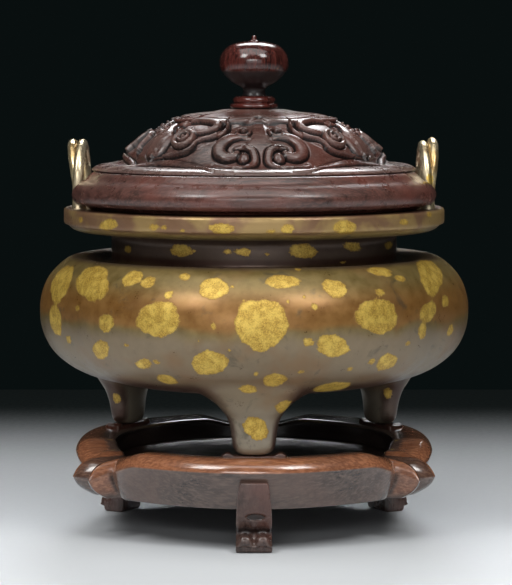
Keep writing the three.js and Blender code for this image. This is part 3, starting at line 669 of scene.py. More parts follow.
# centre column and row of each splash, half width, half height, tilt in degrees
SPLASHES = [
    (264, 325, 26, 27, -20), (155.5, 320, 22.5, 17.5, 10), (380.5, 317, 21.5, 18, -8), (208.5, 366.5, 18.5, 12.5, 22),
    (334.5, 347.5, 17.5, 11, -14), (211.5, 286.5, 14.5, 11, -22), (281.5, 278.5, 17.5, 6.8, -3), (335.5, 285.5, 12.5, 9, -12),
    (381, 268.5, 11, 5, -8), (401.5, 276.5, 5.5, 3.4, 0), (433.5, 273, 17, 13, 28), (431.5, 311.5, 9.5, 10, 10),
    (425.5, 331, 4.5, 8.5, 8), (90, 279, 19, 15.5, -20), (129.5, 277, 9.5, 8, -15), (148, 279.5, 7, 6, 0),
    (166, 294.5, 4.5, 4, 20), (185, 274, 6, 3.6, -25), (103.5, 324, 8.5, 9, 8), (52.5, 320, 7, 16, 4), (57, 281, 11, 18, -25),
    (98, 351.5, 11, 8, 30), (143, 367, 9, 5, 25), (155.5, 363.8, 3.6, 2.6, 0), (165.5, 382, 10.5, 5, 10),
    (273.5, 383, 12, 6.6, 4), (249, 391.5, 9, 4.5, -3), (310.5, 343, 5.2, 4.6, -10), (331.5, 391, 18.5, 6.8, -14),
    (373, 363.5, 3.6, 3, 0), (389, 365, 11, 8.5, -20), (381, 289.5, 5.5, 3.6, 0), (316.5, 305, 3.2, 3.8, 10),
    (285.5, 408, 7.5, 6.5, -28), (255.5, 430.5, 11.5, 13, 40), (115, 400.5, 4, 5.5, 0), (211.5, 328, 2.6, 4.4, 0),
    (257.5, 376, 2.4, 2.4, 0), (302, 374.5, 4, 1.8, 0), (192, 252.5, 2.2, 1.4, 0), (388, 396, 4, 6, 12),
    (105.5, 225, 10, 5.6, 12), (152, 228, 5, 3.2, 0), (163, 229, 3, 2.4, 0), (219.5, 229.5, 12.5, 5.6, -4),
    (272.5, 232, 4.4, 2.4, 0), (289, 229.8, 7, 5, -4), (347.5, 227, 13, 7, -4), (407, 222.5, 5, 3.2, 0), (180, 232, 2.6, 1.8, 0),
    (432, 216, 3, 3, 0), (78, 219, 3, 2.6, 0),
    (125, 248.5, 4, 3.6, 0), (178.5, 250.5, 11, 6.5, 0), (225, 252, 4, 2.6, 0), (241.5, 251.8, 8, 4.2, -3),
    (305.5, 251.5, 14.5, 7.2, -4), (355, 248, 9.5, 4.8, -6), (391.5, 244.5, 5, 4.2, 0), (270, 253, 2.4, 1.6, 0),
    (345, 262, 2.4, 1.5, 0), (305, 296, 2, 2, 0), (290, 300, 1.6, 1.6, 0), (241, 299, 1.6, 1.3, 0), (196, 343, 1.6, 1.6, 0),
    (228, 352, 1.8, 1.5, 0), (75, 309, 2.4, 3, 0), (410, 345, 3, 2.4, 0), (350, 372, 3, 2, 0), (124, 346, 2.6, 2, 0),
    (232, 284, 1.8, 1.4, 0), (66, 340, 3, 4, 20), (448, 300, 4, 6, 0), (453, 330, 3.4, 6, 0), (300, 268, 3, 1.8, 0),
]


def rng(seed):
    return np.random.RandomState(seed)


def splash_field(v, n, usable):
    """Signed depth inside the splashes, in drawing units: positive inside, negative outside."""
    out = np.full(len(v), -20.0)
    U, V = seen(v)
    eye = np.array([CAM_X, -CAM_D, CAM_H])
    look = eye - v
    look /= np.linalg.norm(look, axis=1)[:, None]
    front = usable & ((n * look).sum(1) > 0.05)
    spots = []
    idx = np.where(front)[0]
    for cx, cy, a, b, tilt in SPLASHES:
        d = (U[idx] - cx) ** 2 + (V[idx] - cy) ** 2
        k = idx[np.argsort(d)[:60]]
        near = k[np.hypot(U[k] - cx, V[k] - cy) < max(3.0, np.sqrt(d.min()) + 1.5)]
        # of the surfaces that lie behind one another there, the nearest one to the eye shows
        k = near[np.argmin(np.linalg.norm(v[near] - eye, axis=1))]
        scale = np.linalg.norm(v[k] - eye) / CAM_F
        face = n[k]
        e1 = np.cross([0, 0, 1.0], face)
        e1 /= max(np.linalg.norm(e1), 1e-6)
        e2 = np.cross(face, e1)
        right, up = np.array([1.0, 0, 0]), np.array([0, 0.08, 1.0])
        f1 = max(abs(e1 @ right), 0.42)
        f2 = max(abs(e2 @ up), 0.42)
        spots.append((v[k], face, e1, e2, a * scale / f1, b * scale / f2, tilt))
    rnd = rng(11)
    back = np.where(usable & (v[:, 1] > 60) & (v[:, 2] < 262))[0]
    for _ in range(46):
        k = back[rnd.randint(len(back))]
        size = rnd.choice([3, 5, 9, 14, 20], p=[0.3, 0.25, 0.2, 0.15, 0.1]) * rnd.uniform(0.8, 1.25)
        if any(np.linalg.norm(v[k] - s[0]) < size + max(s[4], s[5]) + 3 for s in spots):
            continue
        face = n[k]
        e1 = np.cross([0, 0, 1.0], face)
        e1 /= max(np.linalg.norm(e1), 1e-6)
        spots.append((v[k], face, e1, np.cross(face, e1), size, size * rnd.uniform(0.55, 0.9), rnd.uniform(-30, 30)))
    rimk = np.where(usable & (v[:, 1] > 20) & (v[:, 2] > 270) & (np.abs(n[:, 2]) < 0.5))[0]
    for _ in range(16):
        k = rimk[rnd.randint(len(rimk))]
        face = n[k]
        e1 = np.cross([0, 0, 1.0], face)
        e1 /= max(np.linalg.norm(e1), 1e-6)
        spots.append((v[k], face, e1, np.cross(face, e1), rnd.uniform(3, 13), rnd.uniform(2, 6), 0))
    rnd = rng(5)
    for p, face, e1, e2, a, b, tilt in spots:
        ph = rnd.uniform(0, 2 * math.pi, 5)
        d = v - p
        close = np.where(usable & (np.abs(d).max(1) < 1.6 * max(a, b) + 6))[0]
        d = d[close]
        u, w, off = d @ e1, d @ e2, d @ face
        c, s = math.cos(tilt * RAD), math.sin(tilt * RAD)
        u, w = u * c + w * s, w * c - u * s
        ang = np.arctan2(w / b, u / a)
        rough = 1 + 0.035 * np.sin(2 * ang + ph[0]) + 0.04 * np.sin(3 * ang + ph[1]) + 0.03 * np.sin(5 * ang + ph[2]) \
            + 0.022 * np.sin(8 * ang + ph[3]) + 0.015 * np.sin(13 * ang + ph[4])
        q = np.hypot(u / a, w / b) / rough
        val = (1 - q) * min(a, b)
        val[(np.abs(off) > max(10, 0.6 * max(a, b))) | ((n[close] @ face) < 0.1)] = -20
        out[close] = np.maximum(out[close], val)
    return out


radial = bv[:, 0] * bn[:, 0] + bv[:, 1] * bn[:, 1]
around_leg = np.round((np.arctan2(bv[:, 0], -bv[:, 1])) / (2 * math.pi / 3)) * (2 * math.pi / 3)
flank = np.abs(bn[:, 0] * np.cos(around_leg) + bn[:, 1] * np.sin(around_leg))
# painted shade under the belly and on the sides of the legs' roots
painted_shade = np.maximum(smooth01((-bn[:, 2] - 0.50) / 0.30) * smooth01((164 - bv[:, 2]) / 10) * smooth01((bv[:, 2] - 96) / 12),
                     smooth01((flank - 0.50) / 0.30) * smooth01((152 - bv[:, 2]) / 14))
# painted shade on the top of the lip under the lid; its outermost edge is left out
lip_top = smooth01((bn[:, 2] - 0.55) / 0.30) * smooth01((bv[:, 2] - 308) / 6) * smooth01((188 - np.hypot(bv[:, 0], bv[:, 1])) / 2.5)
# and painted shade in the hollow between the shoulder's crest and the neck
hollow = smooth01((172 - np.hypot(bv[:, 0], bv[:, 1])) / 8) * smooth01((bv[:, 2] - 252) / 6) * smooth01((276 - bv[:, 2]) / 4)
painted_shade = np.maximum(painted_shade, np.maximum(lip_top, hollow))
belly_in = ((bv - [0, 0, 212]) * bn).sum(1) < 0
rr = np.hypot(bv[:, 0], bv[:, 1])
inside = ((rr < 134) & (bv[:, 2] > 151) & (bv[:, 2] < 316)) | (belly_in & (bv[:, 2] < 262) & (bv[:, 2] > 150.5))
inside &= ~((bn[:, 2] > 0.6) & (bv[:, 2] > 262))
float_attribute(vessel, "inside", inside.astype(float))
float_attribute(vessel, "painted_shade", painted_shade * ~inside)
float_attribute(vessel, "splash", splash_field(bv, bn, ~inside))
finish_piece(vessel, MAT_BRONZE, "splashed_bronze", "censer", "censer_body", "censer_leg_front", "censer_leg_left", "censer_leg_right")


# ------------------------------------------------------------------ rope handles
HANDLE_HALF, HANDLE_SPRING, HANDLE_TOP = 33, 346, 380
HANDLE_X, HANDLE_LEAN = {-1: 172.0, 1: 170.8}, {-1: 0.05, 1: 0.03}
STRAND_R, STRAND_OFF, RIM_TOP = 5.0, 5.15, 318
STRAND_SWING, STRAND_TOP = (1.66, 0.25), {-1: 0.0, 1: -0.3}


def handle_line(n):
    """Middle of the rope loop in its own plane (y, z), with its tangent."""
    foot = RIM_TOP - 0.6
    leg = HANDLE_SPRING - foot
    rise = HANDLE_TOP - HANDLE_SPRING
    a = np.linspace(0, math.pi, 400)
    arch = np.column_stack([-HANDLE_HALF * np.cos(a), HANDLE_SPRING + rise * np.sin(a)])
    pts = np.vstack([[(-HANDLE_HALF, foot)], arch, [(HANDLE_HALF, foot)]])
    s = arclength(pts)
    t = np.linspace(0, s[-1], n)
    y, z = np.interp(t, s, pts[:, 0]), np.interp(t, s, pts[:, 1])
    ty, tz = np.gradient(y), np.gradient(z)
    k = np.hypot(ty, tz)
    return y, z, ty / k, tz / k, t / s[-1]


def strand(name, side, which, nodes):
    n, m = 180, 28
    y, z, ty, tz, w = handle_line(n)
    swing = STRAND_SWING[0] + (STRAND_SWING[1] - STRAND_SWING[0]) * smooth01((w - 0.4) / 0.25)
    a = STRAND_TOP[side] + math.pi * which + swing * np.sin(math.pi * (0.5 - w))
    cx = HANDLE_X[side] + np.maximum(0, z - RIM_TOP) * HANDLE_LEAN[side] + np.cos(a) * STRAND_OFF
    off = np.sin(a) * STRAND_OFF
    cy, cz = y + off * tz, z - off * ty
    c = np.column_stack([cx, cy, cz])
    t = np.gradient(c, axis=0)
    t /= np.linalg.norm(t, axis=1)[:, None]
    out = np.column_stack([np.cos(a), np.sin(a) * tz, -np.sin(a) * ty])
    out -= (out * t).sum(1)[:, None] * t
    out /= np.linalg.norm(out, axis=1)[:, None]
    side_ = np.cross(t, out)
    ang = np.arange(m) * 2 * math.pi / m
    height = np.maximum(0, cz - RIM_TOP)
    flare = 1 + 0.28 * np.exp(-height / 4.0)
    ripple = 1 + 0.025 * np.sin(w * 61 + 2.1 * which) * np.exp(-((w - 0.5) / 0.4) ** 2)
    rad = STRAND_R * flare * ripple
    # the outer face of each strand is a little flattened, as on a worn rope handle
    shape = 1 - 0.10 * np.maximum(0, np.cos(ang)) ** 4
    ring = (np.cos(ang) * shape)[None, :, None] * out[:, None] + (np.sin(ang) * 1.06)[None, :, None] * side_[:, None]
    v = c[:, None] + ring * rad[:, None, None]
    v[:, :, 2] = np.maximum(v[:, :, 2], RIM_TOP - 0.35)
    v[0, :, 2] = v[-1, :, 2] = RIM_TOP - 0.4
    v = v.reshape(-1, 3)
    if side < 0:
        v[:, 0] *= -1
    q = grid_faces(n, m, False, True)
    caps = np.array([np.arange(m)[::-1], (n - 1) * m + np.arange(m)])
    ob = build(name, v, [q, caps], 50)
    crest = np.broadcast_to(np.cos(ang)[None], (n, m)).ravel()
    float_attribute(ob, "crest", crest * 0.5 + 0.5)
    U, V = seen(v)
    patch = 4.0 - np.hypot((U - (430 if side > 0 else 70)) / 0.9, (V - (179 if side > 0 else 196)) / 1.4)
    if side < 0:
        patch[:] = -20
    float_attribute(ob, "splash", np.where(v[:, 1] < 0, patch, -20))
    return finish_piece(ob, MAT_HANDLE, "handle_bronze", "censer", nodes)


for side, word in ((-1, "left"), (1, "right")):
    strand(f"rope_{word}_outer_strand", side, 0, f"handle_{word}_strand_outer")
    strand(f"rope_{word}_inner_strand", side, 1, f"handle_{word}_strand_inner")


# ------------------------------------------------------------------ lid flange
FLANGE = [(118, 306), (126.5, 306), (128.5, 309), (128.5, 318.75), (168, 318.75), (171, 321.4), (179.6, 322.8), (182.6, 326.4),
          (184, 332), (182.8, 337.6), (177.6, 343.2), (170.8, 347.6), (166.4, 352.2), (163.4, 354.2), (160.9, 353.0), (158.5, 348.8), (120, 348.8),
          (118, 346.5)]
flange_line = outline(FLANGE, {0: 0.8, 1: 1.2, 2: 0.8, 3: 1.0, 4: 0.7, 5: 0.6, 6: 0.9, 14: 0.6, 15: 0.6, 16: 0.8, 17: 0.8}, per=4, closed=True, bend=3)
flange = lathe("lid_flange_turned", flange_line, 288, 32)


def rounded_cutter(name, x0, x1, y0, y1, z0, z1, rad):
    pts = []
    for cx, cy, a0 in ((x1 - rad, y1 - rad, 0), (x0 + rad, y1 - rad, 90), (x0 + rad, y0 + rad, 180), (x1 - rad, y0 + rad, 270)):
        for k in range(7):
            a = (a0 + 15 * k) * RAD
            pts.append((cx + rad * math.cos(a), cy + rad * math.sin(a)))
    pts = np.array(pts)
    n = len(pts)
    v = np.vstack([np.column_stack([pts, np.full(n, z0)]), np.column_stack([pts, np.full(n, z1)])])
    k = np.arange(n)
    q = np.column_stack([k, (k + 1) % n, n + (k + 1) % n, n + k])
    return build(name, v, [q, k[None], (n + k)[None]])


for side in (-1, 1):
    lo_x, hi_x = sorted((side * 157.0, side * 205.0))
    cutter = rounded_cutter(f"cutter_{side + 1}", lo_x, hi_x, -46, 46, 300, 360, 3.0)
    mod = flange.modifiers.new("notch", "BOOLEAN")
    mod.operation, mod.solver, mod.object = "DIFFERENCE", "EXACT", cutter
    dg = bpy.context.evaluated_depsgraph_get()
    cut = bpy.data.meshes.new_from_object(flange.evaluated_get(dg))
    flange.modifiers.clear()
    flange.data = cut
    bpy.data.objects.remove(cutter)
flange.data.polygons.foreach_set("use_smooth", np.ones(len(flange.data.polygons), bool))
flange.data.set_sharp_from_angle(angle=32 * RAD)
finish_piece(flange, MAT_LID, "lid_wood", "lid", "lid_flange")


# ------------------------------------------------------------------ carved dome
DOME_HIGH = [(161.5, 355.8), (158.5, 358.2), (146, 363.3), (136.5, 367.5), (128.5, 374.2), (117, 386.5), (103, 397.4),
             (86, 406.4), (66, 411.8), (40, 414.6), (22, 415.2), (5.75, 415.4)]
DOME_IN = [(5.75, 415.4), (5.75, 407.5), (48, 406.8), (72, 402.6), (94, 392), (110, 378), (120, 366), (143, 355),
           (143, 349.5), (155.5, 349.5), (161.5, 355.8)]
PATTERN_TURN = 3.3 * RAD     # the carving stands a little off the handles' axis
dome_top = catmull(DOME_HIGH, 40)
ds = arclength(dome_top)
total_s = ds[-1]


def dome_at(s):
    return np.interp(s, ds, dome_top[:, 0]), np.interp(s, ds, dome_top[:, 1])


def dome_normal(s):
    h = 0.8
    r0, z0 = dome_at(np.clip(s - h, 0, total_s))
    r1, z1 = dome_at(np.clip(s + h, 0, total_s))
    tr, tz = r1 - r0, z1 - z0
    k = np.hypot(tr, tz)
    return tz / k, -tr / k


def pixel_to_dome(pts):
    """Azimuth and arc length on the dome of points seen in the left half of the picture, mirrored to the right half."""
    s = np.linspace(0, total_s, 260)
    th = np.linspace(-92 * RAD, 60 * RAD, 420)
    r, z = dome_at(s)
    nr, nz = dome_normal(s)
    mean = 3.0 * smooth01((s - 20) / 15) - 6.8 * smooth01((s - 7) / 26)     # the carved face lies under the plain dome
    g = around(r + nr * mean, z + nz * mean, th).reshape(-1, 3)
    U, V = seen(g)
    nn = around(nr, nz, th).reshape(-1, 3)
    eye = np.array([CAM_X, -CAM_D, CAM_H])
    ok = ((eye - g) * nn).sum(1) > 0
    U = np.where(ok, U, 1e9)
    out = []
    for q in pts:
        k = int(np.argmin((U - q[0]) ** 2 + (V - q[1]) ** 2))
        out.append((PATTERN_TURN - th[k % len(th)], s[k // len(th)], *q[2:]))
    return out


# Ridges of the carving: column, row, half width, height above the ground, in the left half of the picture
RELIEF = 0.80
RIDGES = [
    # thick hook of the big cloud head, ending in a curled head
    [(249, 136, 2.6, 1.0), (241, 134.6, 4.2, 2.8), (231, 136.2, 5.8, 4.8), (222.6, 140.8, 6.6, 5.8), (218.8, 147, 6.8, 6.2),
     (220.6, 153.2, 6.4, 6.2), (226.8, 156.2, 5.6, 6.0), (233.4, 155.0, 4.6, 5.4), (236.4, 151.6, 3.4, 4.2)],
    # cup that holds the curled head, from the middle stem round to the skirt
    [(236, 147.0, 2.4, 2.0), (243, 146.0, 3.4, 3.4), (250, 148.8, 3.9, 4.4), (254.6, 155.2, 4.0, 4.8), (254.0, 162.2, 3.8, 4.6),
     (247.6, 167.2, 3.4, 4.0), (237, 168.8, 3.0, 3.2), (226, 167.2, 2.8, 2.4), (214, 164.2, 2.6, 1.4)],
    # rim of the upper layer: round the leaf, past the eye scroll and along to the side volute
    [(206, 115.4, 1.6, 3.0), (216, 115.2, 2.0, 4.2), (224, 117.8, 2.0, 4.6), (227.6, 123, 2.0, 4.8), (226, 129, 2.2, 5.0), (220, 134.2, 2.4, 5.0),
     (211, 137.8, 2.2, 4.8), (202, 139.8, 2.0, 4.4), (196.4, 142.6, 1.9, 4.2), (190.8, 148.2, 1.9, 4.0), (182.6, 152.2, 1.9, 3.8),
     (173.4, 154.4, 1.9, 3.6), (161, 157.2, 2.0, 3.4), (149.5, 159, 2.2, 3.0)],
    # body of the curled leaf
    [(182, 125, 3.0, 3.0), (192, 122.6, 4.0, 4.4), (204, 121.4, 5.0, 5.4), (214, 122.8, 5.2, 5.8), (218, 126.6, 4.2, 5.6),
     (211, 130.8, 3.4, 5.0), (199, 133.4, 2.8, 4.4), (190, 134.4, 2.2, 3.4)],
    # broad petal between the eye and the side volute
    [(175, 125.6, 3.6, 2.6), (168, 132, 8.0, 4.8), (162, 139, 13.0, 6.2), (157, 146.6, 13.0, 5.8), (153, 152.6, 8.0, 4.2)],
    # side volutes
    [(137.6, 153, 2.0, 3.6), (140.6, 147.4, 2.2, 4.8), (146, 141.4, 2.4, 5.4), (151.6, 135.6, 2.6, 5.6), (152.4, 131.2, 2.2, 4.8),
     (148, 132.6, 1.7, 4.0)],
    [(128.8, 150.4, 2.0, 3.6), (132.6, 145.4, 2.2, 4.6), (138.6, 139.4, 2.3, 4.8), (144.6, 133.8, 2.2, 4.4), (149, 129, 2.0, 3.6)],
    # raised vein that ends on the skirt
    [(123.4, 154.4, 2.0, 2.6), (128, 158.8, 2.5, 3.4), (133.4, 164.6, 2.2, 2.4)],
    # low wave that runs along the skirt
    [(104, 168.6, 2.6, 0.5), (122, 167.4, 3.4, 1.4), (138, 165, 3.8, 2.0), (153, 162.6, 3.8, 2.4), (168, 161.4, 3.8, 2.6),
     (183, 163.4, 3.6, 2.4), (199, 167.2, 3.2, 2.2), (216, 170.4, 2.8, 1.6), (232, 172, 2.4, 0.8)],
    # long swell from the top ring down to the side
    [(163, 126.6, 2.0, 3.0), (172, 121, 2.6, 4.0), (184, 117, 2.7, 4.2), (196, 114.4, 2.3, 3.6), (206, 112.8, 1.8, 2.4)],
]
# round studs: column, row, radius, height
STUDS = [(243.4, 130.4, 2.6, 4.2), (163, 133.8, 2.1, 6.2), (166.8, 130, 2.1, 6.0), (171.4, 126.6, 2.0, 5.4), (139.8, 151, 1.8, 4.6),
         (184.0, 137.6, 2.4, 4.6), (243.8, 157.6, 6.0, 3.2)]
# rings round a stud: column, row, radius, half width, height
RINGS = [(243.4, 130.6, 6.4, 1.6, 3.2), (184.0, 139.6, 10.2, 3.0, 5.4), (184.2, 138.2, 5.2, 1.7, 5.2)]


def relief(theta, s):
    """Height of the carving over its ground at azimuth theta (0 to 90 degrees from a pattern axis) and arc length s."""
    r, _ = dome_at(s)
    ground = np.zeros_like(s)
    groove = np.zeros_like(s)
    raised = np.zeros_like(s)

    def stroke(pts, cut=2.2, mirror_=0):
        p = catmull(np.array(pts), 9)
        if mirror_:
            p = p.copy()
            p[:, 0] = math.pi / 2 * mirror_ - p[:, 0]
        rm, _ = dome_at(p[:, 1])
        best = np.full(s.shape, 1e9)
        wide = np.zeros_like(s)
        tall = np.zeros_like(s)
        lo_s, hi_s = p[:, 1].min() - 14, p[:, 1].max() + 14
        sel = (s > lo_s) & (s < hi_s)
        if not sel.any():
            return
        th_, s_ = theta[sel], s[sel]
        b, w, h = best[sel], wide[sel], tall[sel]
        for k in range(len(p) - 1):
            ax, ay = p[k, 0] * rm[k], p[k, 1]
            bx, by = p[k + 1, 0] * rm[k], p[k + 1, 1]
            qx, qy = th_ * rm[k], s_
            ex, ey = bx - ax, by - ay
            t = np.clip(((qx - ax) * ex + (qy - ay) * ey) / max(ex * ex + ey * ey, 1e-9), 0, 1)
            d = np.hypot(qx - ax - t * ex, qy - ay - t * ey)
            wk = p[k, 2] + (p[k + 1, 2] - p[k, 2]) * t
            hk = p[k, 3] + (p[k + 1, 3] - p[k, 3]) * t
            better = d / wk < b
            b = np.where(better, d / wk, b)
            w = np.where(better, wk, w)
            h = np.where(better, hk, h)
        top = RELIEF * h * np.clip(1 - b ** 3.0, 0, 1) ** 0.60
        # a stroke parts from the higher ones beside it by a cut line
        side_ = (b - 1) * w
        ditch = cut * np.minimum(1, h / 3.0) * np.exp(-((side_ - 0.35) / 1.1) ** 2)
        near = (b > 1) & (side_ < 3)
        raised[sel] = np.where(near, np.maximum(raised[sel] - ditch * 0.9, 0), raised[sel])
        raised[sel] = np.maximum(raised[sel], top)
        groove[sel] = np.maximum(groove[sel], ditch * (b > 0.9))

    for ridge in DOME_RIDGES:
        stroke(ridge)
        # the same stroke continued across the front axis, and across the handles' axis
        stroke([(-a, *rest) for a, *rest in ridge])
        stroke([(math.pi - a, *rest) for a, *rest in ridge])
    for a0, s0, rad, h in DOME_STUDS:
        for a in (a0, -a0, math.pi - a0):
            d = np.hypot((theta - a) * dome_at(s0)[0], s - s0) / rad
            raised[:] = np.maximum(raised, h * np.sqrt(np.clip(1 - d ** 2.2, 0, 1)))
            groove[:] = np.maximum(groove, 2.0 * np.exp(-(((d - 1) * rad - 0.4) / 1.0) ** 2) * (d > 0.9))
    for a0, s0, rad, w, h in DOME_RINGS:
        for a in (a0, -a0, math.pi - a0):
            d = np.abs(np.hypot((theta - a) * dome_at(s0)[0], s - s0) - rad) / w
            raised[:] = np.maximum(raised, h * np.sqrt(np.clip(1 - d ** 2.2, 0, 1)))
            groove[:] = np.maximum(groove, 1.6 * np.exp(-(((d - 1) * w - 0.4) / 0.9) ** 2) * (d > 0.9))
    # upper cloud layer stands over the skirt along its lower contour
    edge = np.interp(theta, EDGE[:, 0], EDGE[:, 1])
    ground += 2.4 * smooth01((s - edge) / 2.6)
    # smooth stem at the front and back axis
    half = np.interp(s, [0, 40, 70, 110, 150], [30, 24, 12, 8, 10])
    stem = smooth01((half - np.abs(theta) * r) / 7)
    ground += 1.6 * stem * smooth01((s - 22) / 20)
    # scalloped rings round the top
    crown = s - (CROWN_S + 2.2 * np.cos(theta * 8))
    on = smooth01(crown / 2.2)
    ground += 2.6 * on
    raised *= 1 - on
    groove = np.maximum(groove * (1 - on), 2.0 * np.exp(-(crown / 1.3) ** 2))
    groove = np.maximum(groove, 1.5 * np.exp(-((crown - 8.5) / 1.2) ** 2))
    low = np.where(raised > 0.25, 0, groove)
    return ground + raised - low, np.maximum(low, np.minimum(groove, 1.2)) / 2.2


DOME_RIDGES = [pixel_to_dome(rg) for rg in RIDGES]
DOME_STUDS = pixel_to_dome(STUDS)
DOME_RINGS = pixel_to_dome(RINGS)
EDGE_PX = [(262, 108), (250, 109.5), (236, 112.5), (231, 118), (230.4, 126), (226, 133.6), (216, 139.4), (205, 142.4), (198.6, 145),
           (192, 150), (183, 154), (173, 156), (161, 159), (149, 161), (140, 158), (134, 154.6), (127, 154), (120, 155)]
EDGE = np.array(sorted((a, s) for a, s in pixel_to_dome(EDGE_PX)))
CROWN_S = float(np.interp(84, dome_top[::-1, 0], ds[::-1]))
if EDGE[-1, 0] < math.pi / 2:
    EDGE = np.vstack([EDGE, [(math.pi / 2 + 0.1, EDGE[-1, 1])]])

COLS = 960
step_s = 0.9
rows_s = np.concatenate([np.linspace(0, 18, 10, endpoint=False), np.arange(18, 130, step_s), np.linspace(130, total_s, 20)])
az = np.arange(COLS) * 2 * math.pi / COLS
fold = np.abs((az - PATTERN_TURN + math.pi / 2) % math.pi - math.pi / 2)   # 0..90 degrees, mirrored about both axes
TH, SS = np.meshgrid(fold, rows_s)
h, cavity = relief(TH, SS)
side_rise = 3.2 * np.exp(-((SS - 38) / 9) ** 2) * smooth01((TH - 1.15) / 0.3)
h = (h + side_rise - 6.8 * smooth01((SS - 7) / 26)) * smooth01((SS - 1.0) / 5) * smooth01((total_s - 22 - SS) / 16)
r, z = dome_at(rows_s)
nr, nz = dome_normal(rows_s)
R = r[:, None] + nr[:, None] * h
Z = z[:, None] + nz[:, None] * h
outer = np.stack([R * np.sin(az), -R * np.cos(az), Z], -1)
inner_line = outline(DOME_IN, {0: 0, 1: 0, 6: 2, 7: 1, 8: 1, 9: 1.2, 10: 0}, per=3, closed=False, bend=2)[1:-1]
inner_ring = around(inner_line[:, 0], inner_line[:, 1], az)
dv = np.concatenate([outer, inner_ring]).reshape(-1, 3)
rows = len(rows_s) + len(inner_line)
dome = build("lid_dome_carved", dv, [grid_faces(rows, COLS, True, True)], 60)
blank = np.zeros(inner_ring.shape[0] * COLS)
float_attribute(dome, "cavity", np.concatenate([np.clip(cavity, 0, 1).ravel(), blank]))
float_attribute(dome, "crest", np.concatenate([smooth01((h + 3.0) / 4.0).ravel(), blank]))
finish_piece(dome, MAT_DOME, "lid_wood", "lid", "lid_dome")


# ------------------------------------------------------------------ finial
COLLAR = [(5.75, 416.0), (22.5, 416.0), (23.8, 418), (22.6, 420), (19.4, 420.9), (20.9, 423.2), (20.2, 425.9), (17.4, 427.8), (5.75, 427.8)]
collar = lathe("finial_collar_turned", outline(COLLAR, {0: 0, 1: 0.8, 4: 0.5, 7: 0.8, 8: 0}, per=5), 128, 40)
finish_piece(collar, MAT_FINIAL, "finial_wood", "lid", "finial_collar")
KNOB = [(5.4, 428.2), (12.1, 428.2), (10.7, 432.4), (11.7, 436), (16, 438.8), (21, 441.4), (25.6, 445.2), (30.2, 450.2), (33.1, 455),
        (34.0, 460.4), (33.5, 465.6), (31.5, 470.4), (27.7, 475), (22.4, 478.5), (15, 480.8), (8.6, 481.6), (5.4, 481.4)]
knob = lathe("finial_knob_turned", outline(KNOB, {0: 0, 1: 0.6, 16: 0}, per=5), 160, 50)
finish_piece(knob, MAT_FINIAL, "finial_wood", "lid", "finial_knob")
PIN = [(0, 398.5), (9, 398.5), (11, 401), (11, 404.5), (5, 406.7), (5, 481.2), (4.7, 482.4), (2.6, 483.6), (2.2, 485.6), (2.0, 486.9),
       (1.2, 487.5), (0, 487.6)]
pin = lathe("finial_pin_turned", outline(PIN, {0: 0, 1: 0.6, 4: 0.5, 5: 0.4, 11: 0}, per=3, closed=False)[:], 64, 45)
finish_piece(pin, MAT_FINIAL, "finial_wood", "lid", "finial_pin")


# ------------------------------------------------------------------ lobed stand rail
VALLEY, CREST = 52.8, 54.9


def keel_radius(d):
    """Radius of the rail's widest line, d degrees from the middle of a lobe: lobe, valley, then a pointed ear."""
    if d <= 30:
        return 180.5 - 2.5 * float(smooth01(d / 30))
    if d <= 44:
        return 178 + 1.8 * float(smooth01((d - 30) / 14))
    if d <= VALLEY:
        return 179.8 - 7.0 * ((d - 44) / (VALLEY - 44)) ** 2.6
    if d <= CREST:
        t = (d - VALLEY) / (CREST - VALLEY)
        return 172.8 + 22.7 * t ** 1.1 - 0.9 * max(0, (t - 0.86) / 0.14) ** 2
    return 182 + 12.6 * (1 - ((d - CREST) / (60 - CREST)) ** 1.6)


# Sections of the rail as steps (outwards, up) from its widest line: three below it and four above.
SECTIONS = [(38, 77.2, 87.6, [(-14.5, -36.2), (-9.3, -25), (-4.4, -12.5)], [(-1.4, 4.2), (-5.0, 8.8), (-10.6, 11.9), (-20, 12.4)]),
            (VALLEY, 67.5, 81, [(-12.5, -26.5), (-6.5, -17.5), (-2.5, -8.5)], [(-1.5, 4), (-4.5, 8.2), (-8, 11.2), (-14, 13.2)]),
            (CREST, 59.8, 77, [(-21, -18.8), (-9, -12), (-3.5, -6.5)], [(-4, 7), (-9, 12), (-15, 15.2), (-21, 17)]),
            (60, 59, 74, [(-13, -18), (-7, -12), (-2.5, -6)], [(-1.8, 5), (-5, 9.5), (-9, 13), (-15, 14.8)])]


def rail_section(deg):
    d = min(max(abs(deg), SECTIONS[0][0]), 60)
    k = 0
    while k < len(SECTIONS) - 2 and d > SECTIONS[k + 1][0]:
        k += 1
    s, e = SECTIONS[k], SECTIONS[k + 1]
    t = (d - s[0]) / (e[0] - s[0])
    if k == 0:
        t = float(smooth01(t))
    rk = keel_radius(abs(deg))
    zk, zt = s[1] + (e[1] - s[1]) * t, s[2] + (e[2] - s[2]) * t
    low, high = ([(rk + p[0] + (q[0] - p[0]) * t, zk + p[1] + (q[1] - p[1]) * t) for p, q in zip(s[j], e[j])] for j in (3, 4))
    low[0] = (low[0][0], 41)
    return [*low, (rk, zk), *high, (141, zt), (138, zt - 3), (138, 60.75), (129, 60.75), (129, 53), (138, 45), (148, 41)]


